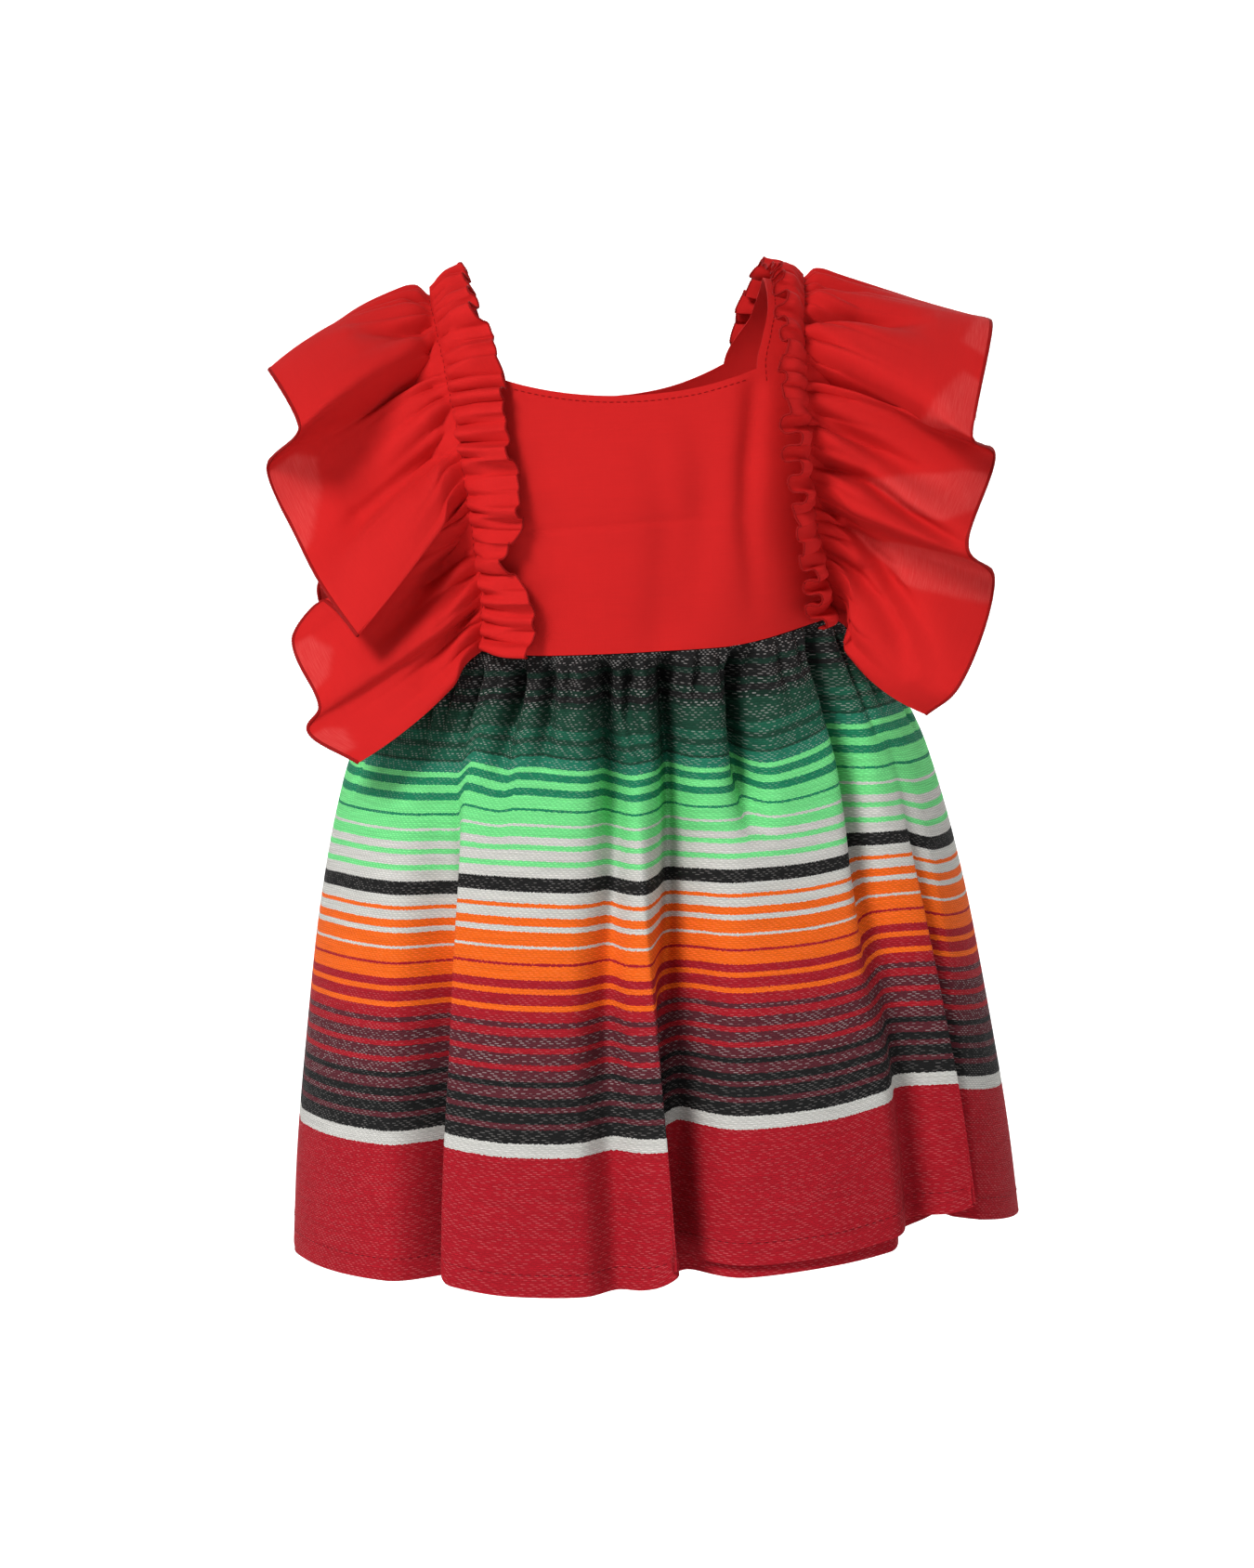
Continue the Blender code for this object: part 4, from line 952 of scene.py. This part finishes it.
def striped_weave(settings):
    """Striped cloth: thick weft stripes, pale warp flecks, toothed borders, slubs, and painted
    shade in the grooves between weft rows.
    """
    shader = Shader("striped_cloth", Roughness=0.92, Specular_IOR_Level=0.15)
    u, v = shader.flat_place()
    pitch = settings.weft_pitch * 1000.0
    pick = (v / pitch).floor()
    in_pick = (v / pitch).fract()
    uneven = shader.noise(shader.place(u * 0.020, v * 0.9), 1.0, 3.0)
    stagger = u / FLECK_PITCH - pick * 0.37 + uneven * 0.6
    luck = shader.chance(shader.place(stagger.floor(), pick))
    length = 0.13 + 0.16 * luck
    bar = 1.0 - ((stagger.fract() - 0.5).size() - length).within(-0.06, 0.06)
    row = 1.0 - (in_pick - 0.5).size().within(0.16, 0.34)
    fleck = bar * row * luck.within(0.25, 0.60)
    tooth = (shader.noise(shader.place(u * 1.1, 0.0, pick * 0.7), 1.0, 1.0) - 0.5) * 1.5
    drop = (v + tooth + RAMP_START) / RAMP_SPAN
    stops = [((start + RAMP_START) / RAMP_SPAN, (*YARNS[yarn], pale))
             for start, yarn, pale in STRIPES]
    ramps = [shader.node("ShaderNodeValToRGB", {"stops": part}, {"Fac": drop})
             for part in (stops[:FIRST_RAMP], stops[FIRST_RAMP:])]
    lower = drop > stops[FIRST_RAMP][0]
    yarn = shader.mixed(lower, *(Field(shader, ramp.outputs[0]) for ramp in ramps))
    upper_pale, lower_pale = (Field(shader, ramp.outputs[1]) for ramp in ramps)
    pale = upper_pale * (1.0 - lower) + lower_pale * lower
    patchy = shader.noise(shader.place(u * 0.05, v * 0.22), 1.0, 3.0)
    through = pale * fleck * (0.25 + 1.3 * patchy) * FLECK_STRENGTH * settings.fleck
    cloth = shader.mixed(through, yarn, tuple(settings.warp_colour))
    streak = shader.noise(shader.place(u * 0.035, v * 1.05), 1.0, 3.0)
    grain = shader.noise(shader.place(u * 1.2, v * 1.6), 1.0, 2.0)
    shade = 0.64 + 0.58 * streak + 0.14 * grain
    # Painted shade: darker between the weft rows and round the raised flecks, where shade falls in
    # the weave
    painted_groove_shade = 1.07 - 0.34 * (1.0 - row) - 0.24 * row * (1.0 - bar)
    cloth = shader.shaded(cloth, shade * painted_groove_shade)
    height = row * 0.7 + bar * row * 0.5 + grain * 0.3
    return shader.finish(cloth, height=height, depth=0.00030, strength=0.7)


def red_cotton(name, colour, painted_backlight_colour):
    """Light plain-woven cotton: fine crossed threads, slubs, and painted backlight, a paler red
    where it hangs single.
    """
    shader = Shader(name, Roughness=0.86, Specular_IOR_Level=0.18)
    u, v = shader.flat_place()
    turn = 2 * math.pi / COTTON_PITCH
    threads = (u * turn).sine() * (v * turn).sine()
    slub = shader.noise(shader.place(u * 0.06, v * 1.5), 1.0, 3.0)
    slub_down = shader.noise(shader.place(u * 1.5, v * 0.05), 1.0, 2.0)
    grain = shader.noise(shader.place(u * 2.2, v * 2.2), 1.0, 2.0)
    mottle = shader.noise(shader.place(u * 0.05, v * 0.05), 1.0, 3.0)
    shade = 0.86 + 0.10 * slub + 0.05 * slub_down + 0.08 * grain + 0.06 * mottle
    red = shader.shaded(tuple(colour), shade)
    # Painted backlight: where the cloth hangs single it is mixed in streaks towards a paler red,
    # standing in for light showing through it
    sheer = shader.attribute("sheer")
    streaks = shader.noise(shader.place(u * 0.10, v * 2.4), 1.0, 3.0).within(0.35, 0.75)
    streaks_down = shader.noise(shader.place(u * 2.2, v * 0.12), 1.0, 2.0).within(0.45, 0.8)
    thin = sheer * (0.26 + 0.42 * streaks + 0.14 * streaks_down)
    cloth = shader.mixed(thin, red, tuple(painted_backlight_colour))
    height = threads * 0.35 + grain * 0.5 + slub * 0.4
    return shader.finish(cloth, height=height, depth=0.00012, strength=0.6)


def sewing_thread(name, colour):
    """Twisted sewing thread with a soft shine."""
    shader = Shader(name, Roughness=0.6, Specular_IOR_Level=0.08)
    where = shader.field("ShaderNodeTexCoord", None, None, 3)
    grain = shader.noise(where, 1800.0, 2.0)
    cloth = shader.shaded(tuple(colour), 0.75 + 0.5 * grain)
    return shader.finish(cloth, height=grain, depth=0.00008, strength=0.6)


def button_plastic(colour):
    """Dyed glossy button, a little cloudy, with scuffs in its shine."""
    shader = Shader("button_plastic", Roughness=0.3, Coat_Weight=0.2)
    where = shader.field("ShaderNodeTexCoord", None, None, 3)
    cloud = shader.noise(where, 260.0, 3.0)
    scuffs = shader.noise(where, 1500.0, 2.0)
    cloth = shader.mixed(cloud * 0.35, tuple(colour), tuple(c * 0.6 for c in colour))
    return shader.finish(cloth, roughness=0.22 + 0.2 * scuffs, height=scuffs, depth=0.00003)


def colour(name, description, default):
    """A colour that a user may change."""
    return FloatVectorProperty(name=name, description=description, default=default,
                               subtype="COLOR", size=3, min=0.0, max=1.0)


def length(name, description, default, low, high):
    """A length that a user may change."""
    return FloatProperty(name=name, description=description, default=default, min=low, max=high,
                         subtype="DISTANCE", unit="LENGTH", precision=5)


def count(name, description, default, low, high):
    """A number of rows or columns that a user may change."""
    return IntProperty(name=name, description=description, default=default, min=low, max=high)


class DressClothSettings(bpy.types.PropertyGroup):
    """Cloth walls and colours of the bodice and the ruffles"""
    bodice_wall: length("Bodice wall", "Thickness of the bodice's cloth", 0.0009, 0.0004, 0.003)
    ruffle_wall: length("Ruffle wall", "Thickness of the ruffles' cloth", 0.0007, 0.0004, 0.003)
    red: colour("Red", "Colour of the red cotton", (0.525, 0.0095, 0.0092))
    # Paler red painted where the cotton hangs single, as painted backlight showing through it
    painted_backlight_red: colour("Painted backlight red", "Colour where the cotton is single", (0.62, 0.060, 0.056))
    columns: count("Ruffle columns", "Columns of each ruffle's mesh", 512, 128, 700)
    rows: count("Ruffle rows", "Rows of a ruffle's wide side", 48, 12, 80)


class DressSkirtSettings(bpy.types.PropertyGroup):
    """Wall, weave and mesh of the striped skirt"""
    wall: length("Skirt wall", "Thickness of the striped cloth", 0.0012, 0.0005, 0.003)
    weft_pitch: length("Weft pitch", "Distance between rows of weft", WEFT_PITCH / 1000,
                       0.0003, 0.003)
    fleck: FloatProperty(name="Flecks", description="How much of the pale warp shows",
                         default=1.0, min=0.0, max=2.0, subtype="FACTOR")
    warp_colour: colour("Warp", "Colour of the pale warp", (0.62, 0.58, 0.56))
    columns: count("Front columns", "Columns of the front panel's mesh", 330, 80, 420)
    rows: count("Front rows", "Rows of the front panel's mesh", 130, 40, 200)


class DressTrimSettings(bpy.types.PropertyGroup):
    """Threads and buttons"""
    thread: colour("Thread", "Colour of the sewing thread", (0.27, 0.0050, 0.0050))
    hem_thread: colour("Hem thread", "Colour of the skirt's hem thread", (0.16, 0.006, 0.012))
    button: colour("Button", "Colour of the buttons", (0.45, 0.012, 0.012))
    stitch: length("Stitch", "Length of one stitch", 0.0024, 0.001, 0.006)


def materials():
    """The dress's materials by name, made once."""
    held = bpy.data.materials
    cloth, trim = bpy.context.scene.dress_cloth, bpy.context.scene.dress_trim
    made = {
        "striped_cloth": lambda: striped_weave(bpy.context.scene.dress_skirt),
        "red_cloth": lambda: red_cotton("red_cloth", cloth.red, cloth.painted_backlight_red),
        "red_thread": lambda: sewing_thread("red_thread", trim.thread),
        "hem_thread": lambda: sewing_thread("hem_thread", trim.hem_thread),
        "button_plastic": lambda: button_plastic(trim.button),
    }
    return {name: held.get(name) or make() for name, make in made.items()}


def stripe_place(share, down):
    """Where on the striped cloth a place of the skirt is, down the cloth."""
    place = np.where(share > 1.0, share - 1.0, share)
    slips = []
    for column in ("high", "low"):
        slip, left, right = (smooth(SLIPS, place, column), getattr(SLIPS[0], column),
                             getattr(SLIPS[-1], column))
        if np.max(share) > 1.5:
            own = left * (1 - place) + right * place
            slip = left * place + right * (1 - place) + 0.5 * (slip - own)
        slips.append(slip)
    high, low = slips
    grow = ease(down / SLIP_HIGH_AT)
    pass_over = ease((down - SLIP_HIGH_AT) / (SLIP_LOW_AT - SLIP_HIGH_AT))
    end = 1 - ease((down - SLIP_LOW_AT) / (SLIP_OVER_AT - SLIP_LOW_AT))
    slip = (high * grow * (1 - pass_over) + low * pass_over) * end
    return down - slip


def skirt_panel(name, first, columns, rows, creases):
    """One skirt panel as a thin shell, with its hem turned up inside."""
    share = first + np.linspace(1e-6, 1 - 1e-6, columns + 1)
    near_top = np.array((-0.006, -0.003, -0.0012, 0.0))
    down = np.concatenate([near_top, np.linspace(0, 1, rows + 1)[1:] ** 1.12 * SKIRT_LENGTH])
    shares, downs = np.meshgrid(share, down)
    outside = skirt_surface(shares, downs, creases)
    outward = outward_normals(outside, outside * (1.0, 1.0, 0.0))
    turned = ease((downs - (SKIRT_LENGTH - HEM_TURN)) / 0.0008)
    wall = bpy.context.scene.dress_skirt.wall * (1 + 0.9 * turned) * np.where(downs < 0, 0.7, 1.0)
    along = (shares - first) * PANEL_WIDTH + first * 0.37
    flat = np.stack([along, stripe_place(shares, downs)], axis=-1)
    piece = cloth_shell(name, outside, outward, wall, flat)
    if first < 1:
        under_fold(piece, creases)
    return piece, outside, outward


def under_fold(panel, creases):
    """Fold of the front panel behind its hem, hanging a little below it, joined to the panel."""
    across = np.linspace(0, 1, 100)
    shares, downs = np.meshgrid(UNDER_FOLD[0] + (UNDER_FOLD[1] - UNDER_FOLD[0]) * across,
                                np.linspace(UNDER_FOLD_FROM, SKIRT_LENGTH, 24))
    outside = skirt_surface(shares, downs, creases)
    outward = outward_normals(outside, outside * (1.0, 1.0, 0.0))
    round_end = (1 - across ** 14) * (0.80 + 0.12 * np.sin(9 * across) + 0.20 * across)
    grown = ease((downs - UNDER_FOLD_FROM) / (SKIRT_LENGTH - UNDER_FOLD_FROM))
    hang = UNDER_FOLD_HANG * grown * round_end
    outside = outside - outward * UNDER_FOLD_GAP
    outside[..., 2] -= hang
    flat = np.stack([shares * PANEL_WIDTH, downs + hang], axis=-1)
    fold = cloth_shell("fold", outside, outward, UNDER_FOLD_WALL, flat)
    bpy.ops.object.select_all(action="DESELECT")
    fold.select_set(True)
    panel.select_set(True)
    bpy.context.view_layer.objects.active = panel
    bpy.ops.object.join()


def back_creases():
    """Gathers of the skirt's back, uneven in place, depth and length."""
    made = []
    for k in range(BACK_GATHERS):
        place = (k + 0.5) / BACK_GATHERS + 0.008 * math.sin(5.1 * k + 0.7)
        reach = 0.030 + 0.030 * (0.5 + 0.5 * math.sin(2.3 * k))
        drift = 0.010 * math.sin(1.7 * k)
        strong = 0.5 + 0.5 * (0.5 + 0.5 * math.sin(3.7 * k + 1.0))
        line = ((place, 0.0, strong), (place + drift * 0.4, reach * 0.5, strong),
                (place + drift, reach, 0.0))
        made.append(Crease(line, 0.0046, 0.0040, 0.001))
    return tuple(made) + SKIRT_CREASES[LONG_CREASES]


def make_skirt():
    """Both skirt panels, and the stitches of their hems."""
    held, settings = materials(), bpy.context.scene.dress_skirt
    for name, first, folds, finer, above in (
            ("skirt_front", 0.0, SKIRT_CREASES, 1.0, "bodice_front_cloth"),
            ("skirt_back", 1.0, back_creases(), 0.8, "bodice_back_left_cloth")):
        piece, outside, outward = skirt_panel(name + "_cloth", first, int(settings.columns * finer),
                                              int(settings.rows * finer), folds)
        dress_up(piece, held["striped_cloth"], (name,))
        down = np.linalg.norm(np.diff(outside, axis=0), axis=-1)[:, 10].cumsum()
        row = int(np.searchsorted(down, down[-1] - HEM_TURN))
        threads = stitch_row(name + "_hem_stitches", [(outside[row, 2:-2], outward[row, 2:-2])],
                             length=0.0026, gap=0.0012, radius=0.00016)
        dress_up(threads, held["hem_thread"])


def bodice_panel(name, grid, shift, side=0):
    """One panel of the bodice as a thin shell, with its soft creases."""
    angles, paths, present = grid
    outward = bodice_normals(angles, paths)
    outside = bodice_surface(angles, paths) + np.array((0, shift, 0))
    if shift < 0:
        trough, _ = creased(BODICE_CREASES, outside[..., 0], outside[..., 2], 1.0, 1.0)
        away = 1 - ease((np.abs(angles) - math.radians(50)) / math.radians(12))
        outside = outside - outward * (trough * away)[..., None]
    else:
        hang = 0.0006 * np.sin(outside[..., 2] * 70) * np.sin(outside[..., 0] * 55 + 0.4)
        tucked = SEAM_TUCK * ease(np.degrees(np.abs(angles)) - 89.0)
        outside = outside + outward * (hang - tucked)[..., None]
    if side > 0:
        laid_over = 1 - ease((np.abs(outside[..., 0]) - OVERLAP_HALF) / OVERLAP_RAMP)
        outside = outside + outward * (OVERLAP_STEP * laid_over)[..., None]
    flat = np.stack([angles * 0.105, paths], axis=-1)
    wall = bpy.context.scene.dress_cloth.bodice_wall
    # The bodice gets no painted backlight: its mask is zero
    piece = cloth_shell(name, outside, outward, wall, flat, {"sheer": np.zeros(angles.shape)},
                        present)
    return piece, outside, outward


def back_half(side):
    """Grid of one half of the back, with its lap over the middle."""
    reach = SIDE_COLUMNS + MIDDLE_COLUMNS // 2
    span = (0, reach) if side > 0 else (-reach, 0)
    angles, paths, present = panel_grid(BACK_EDGES, BACK_NECK_CORNER, BACK_NECK_DIP, span)
    opening = -side * angle_at(np.full(paths.shape[0], OVERLAP_HALF), paths[:, 0])
    near = np.linspace(0, 1, FINER + 1)
    first = angles[:, FINER] if side > 0 else angles[:, -FINER - 1]
    eased = opening[:, None] + (first - opening)[:, None] * near
    if side > 0:
        angles[:, :FINER + 1] = eased
    else:
        angles[:, -FINER - 1:] = eased[:, ::-1]
    return angles, paths, present


def make_bodice():
    """Front and both halves of the back, with the stitching round the neck."""
    held = materials()
    reach = SIDE_COLUMNS + MIDDLE_COLUMNS // 2
    front = panel_grid(FRONT_EDGES, FRONT_NECK_CORNER, FRONT_NECK_DIP, (-reach, reach))
    body, half = len(BODY_ROWS) * FINER, MIDDLE_COLUMNS // 2 * FINER
    strap, middle = slice(body - 3, -1), reach * FINER
    for name, grid, side, flat, area in (
            ("bodice_front", front, 0, (0.235, 0.2095), 0.0362),
            ("bodice_back_left", back_half(-1), -1, (0.125, 0.2095), 0.0185),
            ("bodice_back_right", back_half(1), 1, (0.125, 0.2095), 0.0185)):
        shift = SEAM_SHIFT if side else -SEAM_SHIFT
        piece, outside, outward = bodice_panel(name + "_cloth", grid, shift, side)
        dress_up(piece, held["red_cloth"], (name,))
        across, columns = {0: (slice(middle - half + 2, middle + half - 1),
                               (middle - half - 3, middle + half + 3)),
                           1: (slice(2, half - 1), (half + 3,)),
                           -1: (slice(-half + 1, -2), (-half - 4,))}[side]
        neck = (outside[body - 2, across] + outside[body - 1, across]) / 2
        rows = [(neck, outward[body - 2, across])]
        rows += [(outside[strap, column], outward[strap, column]) for column in columns]
        if side > 0:
            rows.append((outside[1:body - 2, 1], outward[1:body - 2, 1]))
        threads = stitch_row(name + "_topstitching", rows, bpy.context.scene.dress_trim.stitch)
        dress_up(threads, held["red_thread"])


def make_ruffles():
    """Both ruffles, their rolled edges, fluffy heading edges and the stitches that hold them."""
    held, settings = materials(), bpy.context.scene.dress_cloth
    share = np.linspace(0.0, 1.0, settings.columns + 1)
    heading = -np.linspace(1, 0, HEADING_ROWS + 1)[:-1]
    wide = np.linspace(0, 1, settings.rows + 1) ** 1.15
    shares, across = np.meshgrid(share, np.concatenate([heading, wide]))
    for name, side in (("ruffle_left", -1), ("ruffle_right", 1)):
        outside = ruffle_surface(side, shares, across)
        outward = outward_normals(outside, points(0.0, np.where(shares < 0.5, -1.0, 1.0), 0.0))
        # Mask of painted backlight: where the wide sides hang single they are painted paler
        own, other = (PAINTED_BACKLIGHT_LEFT, PAINTED_BACKLIGHT_RIGHT) if side < 0 else (PAINTED_BACKLIGHT_RIGHT, PAINTED_BACKLIGHT_LEFT)
        turned = tuple(tuple((1 - a, b) for a, b in corners) for corners in other)
        sheer = np.max([within_corners(corners, shares * PAINTED_BACKLIGHT_RUN, across * CREASE_REACH,
                                       PAINTED_BACKLIGHT_RUN, CREASE_REACH)
                        for corners in own + turned], axis=0)
        along = 0.44 + 0.32 * np.clip(across, 0, 1)
        flat = np.stack([shares * along, across * np.where(across < 0, 0.022, 0.096)], axis=-1)
        piece = cloth_shell(name + "_cloth", outside, outward, settings.ruffle_wall, flat,
                            {"sheer": sheer})
        dress_up(piece, held["red_cloth"], (name,))
        middle = outside - outward * (settings.ruffle_wall / 2)
        hem = swept_band(name + "_rolled_edge", middle[-1], outward[-1], wide=0.0020, high=0.0013,
                         sides=8, turn_length=0.0013, ridge=0.14)
        top = swept_band(name + "_heading_edge", middle[0], outward[0], wide=0.0011, high=0.0011,
                         sides=6, turn_length=0.0011, ridge=0.22)
        stitches = stitch_row(name + "_stitches", [(outside[HEADING_ROWS], outward[HEADING_ROWS])],
                              length=0.0022, gap=0.0010, radius=0.00020)
        for thread in (hem, top, stitches):
            dress_up(thread, held["red_thread"])


def make_buttons():
    """Four-hole buttons with a raised rim, and the thread crossed through their holes."""
    held, turn = materials(), turns(BUTTON_SIDES)
    aside, (radii, heights) = np.array((1.0, 0.0, 0.0)), np.array(BUTTON_PROFILE).T
    for number in range(1, 5):
        centre = np.mean(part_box(f"button_{number}"), axis=0)
        paths = np.linspace(0.0, WAIST, 400)
        path = paths[np.argmin(np.abs(smooth(BODICE, paths, "z") - centre[2]))]
        out = bodice_normals(np.array(0.0), np.array(path))
        up = np.array((0.0, -out[2], out[1]))
        ring = np.stack([np.outer(radii, np.cos(turn)), np.outer(radii, np.sin(turn)),
                         np.outer(heights, np.ones(BUTTON_SIDES))], axis=-1)
        for corner in math.pi / 4 + math.pi / 2 * np.arange(4):
            spot = np.array((math.cos(corner), math.sin(corner))) * HOLE_PLACE
            away = np.sum((ring[:5, :, :2] - spot) ** 2, axis=-1) / (HOLE / 2) ** 2
            ring[:5, :, 2] -= HOLE_DEPTH * np.exp(-away ** 2)
        piece = link_piece(f"button_{number}_face",
                           centre + ring.reshape(-1, 3) @ np.array((aside, up, out)),
                           tube_faces(len(radii), BUTTON_SIDES)[1])
        piece.modifiers.new("joined", "WELD").merge_threshold = 0.00001
        dress_up(piece, held["button_plastic"], (f"button_{number}",))
        reach = np.linspace(-HOLE_PLACE, HOLE_PLACE, 12)[:, None] * math.sqrt(0.5)
        arms = [(centre + reach * (aside + sign * up) + out * 0.0006, np.tile(out, (12, 1)))
                for sign in (-1, 1)]
        threads = stitch_row(f"button_{number}_thread", arms, length=0.0026, gap=0.0001,
                             radius=0.00026)
        dress_up(threads, held["red_thread"])


def make_stage():
    """Camera at the photograph's angle, soft daylight from the upper left, and a pale floor."""
    scene = bpy.context.scene
    azimuth, elevation, roll = map(math.radians, (CAMERA_TURN, CAMERA_RISE, CAMERA_ROLL))
    ahead = Vector((-math.sin(azimuth) * math.cos(elevation),
                    math.cos(azimuth) * math.cos(elevation), -math.sin(elevation)))
    place = Vector(CAMERA_TARGET) - CAMERA_DISTANCE * ahead
    right = ahead.cross(Vector((0, 0, 1))).normalized()
    up = right.cross(ahead)
    tilted_right = math.cos(roll) * right - math.sin(roll) * up
    tilted_up = math.cos(roll) * up + math.sin(roll) * right
    data = bpy.data.cameras.new("photo_camera")
    data.lens, data.sensor_width = CAMERA_LENS, 36.0
    data.shift_x, data.shift_y = CAMERA_SHIFT
    data.clip_end = 500.0
    camera = bpy.data.objects.new("photo_camera", data)
    turn = Matrix((tilted_right, tilted_up, -ahead)).transposed().to_4x4()
    camera.matrix_world = Matrix.Translation(place) @ turn
    scene.collection.objects.link(camera)
    scene.camera = camera

    corners = [(x * size, y * size, z) for size, z in (FLOOR, FLOOR_RIM)
               for x, y in ((-1, -1), (1, -1), (1, 1), (-1, 1))]
    slopes = [(k, k + 4, (k + 1) % 4 + 4, (k + 1) % 4) for k in range(4)]
    floor = link_piece("floor", np.array(corners), [(0, 1, 2, 3)] + slopes)
    floor.data.shade_flat()
    pale = Shader("pale_glowing_floor", Roughness=0.95, Emission_Strength=1.0)
    where = pale.field("ShaderNodeTexCoord", None, None, 3)
    speck = pale.noise(where, 0.5, 2.0)
    # The floor is darker grey within about 2 m of the middle. Beyond that the floor and its rim
    # glow, a painted glow that makes the backdrop white and lights the dress from below like a
    # lamp.
    distance = pale.field("ShaderNodeVectorMath", {"operation": "LENGTH"}, {0: where}, 1)
    away = distance.within(1.7, 2.3)
    glow = pale.mixed(away, (0.0, 0.0, 0.0), (0.60, 0.60, 0.60))
    pale.tree.links.new(glow.socket, pale.surface.inputs["Emission Color"])
    colour = pale.mixed(speck * 0.05 + away * 0.9, (0.42, 0.42, 0.42), (0.95, 0.95, 0.95))
    floor.data.materials.append(pale.finish(colour))

    for name, direction, power, spread in LIGHTS:
        lamp = bpy.data.lights.new(name, "SUN")
        lamp.energy = power
        lamp.angle = math.radians(spread)
        light = bpy.data.objects.new(name, lamp)
        light.rotation_euler = Vector(direction).to_track_quat("Z", "Y").to_euler()
        scene.collection.objects.link(light)
    world = bpy.data.worlds.new("daylight")
    world.use_nodes = True
    sky = world.node_tree.nodes["Background"].inputs
    sky["Color"].default_value, sky["Strength"].default_value = (1.0, 1.0, 1.0, 1.0), DAYLIGHT
    scene.world = world
    scene.view_settings.view_transform = "Standard"


class DRESS_OT_stage(bpy.types.Operator):
    """Set the camera, the lights and the floor"""
    bl_idname = "dress.stage"
    bl_label = "Set the stage"

    def execute(self, context):
        make_stage()
        return {"FINISHED"}


class DRESS_OT_bodice(bpy.types.Operator):
    """Make the bodice's front and back"""
    bl_idname = "dress.bodice"
    bl_label = "Make the bodice"

    def execute(self, context):
        make_bodice()
        return {"FINISHED"}


class DRESS_OT_skirt(bpy.types.Operator):
    """Make the striped skirt"""
    bl_idname = "dress.skirt"
    bl_label = "Make the skirt"

    def execute(self, context):
        make_skirt()
        return {"FINISHED"}


class DRESS_OT_ruffles(bpy.types.Operator):
    """Make the shoulder ruffles"""
    bl_idname = "dress.ruffles"
    bl_label = "Make the ruffles"

    def execute(self, context):
        make_ruffles()
        return {"FINISHED"}


class DRESS_OT_buttons(bpy.types.Operator):
    """Make the buttons of the back opening"""
    bl_idname = "dress.buttons"
    bl_label = "Make the buttons"

    def execute(self, context):
        make_buttons()
        return {"FINISHED"}


class DRESS_PT_panel(bpy.types.Panel):
    """The dress's sizes and colours, and the steps that make it"""
    bl_label = "Dress"
    bl_idname = "DRESS_PT_panel"
    bl_space_type = "VIEW_3D"
    bl_region_type = "UI"
    bl_category = "Dress"

    def draw(self, context):
        scene = context.scene
        for settings in (scene.dress_cloth, scene.dress_skirt, scene.dress_trim):
            box = self.layout.box()
            for title in settings.bl_rna.properties.keys():
                if title not in ("rna_type", "name"):
                    box.prop(settings, title)
        for operator in OPERATORS:
            self.layout.operator(operator.bl_idname)


OPERATORS = (DRESS_OT_stage, DRESS_OT_bodice, DRESS_OT_skirt, DRESS_OT_ruffles, DRESS_OT_buttons)
SETTINGS = (DressClothSettings, DressSkirtSettings, DressTrimSettings)


def register():
    """Register the settings, the operators and the panel."""
    for kind in SETTINGS + OPERATORS + (DRESS_PT_panel,):
        bpy.utils.register_class(kind)
    bpy.types.Scene.dress_cloth = PointerProperty(type=DressClothSettings)
    bpy.types.Scene.dress_skirt = PointerProperty(type=DressSkirtSettings)
    bpy.types.Scene.dress_trim = PointerProperty(type=DressTrimSettings)


def unregister():
    """Take back all that register adds."""
    del bpy.types.Scene.dress_cloth, bpy.types.Scene.dress_skirt, bpy.types.Scene.dress_trim
    for kind in reversed(SETTINGS + OPERATORS + (DRESS_PT_panel,)):
        bpy.utils.unregister_class(kind)


def main():
    """Make the whole dress."""
    register()
    bpy.ops.dress.stage()
    bpy.ops.dress.bodice()
    bpy.ops.dress.skirt()
    bpy.ops.dress.ruffles()
    bpy.ops.dress.buttons()


if __name__ == "__main__":
    main()
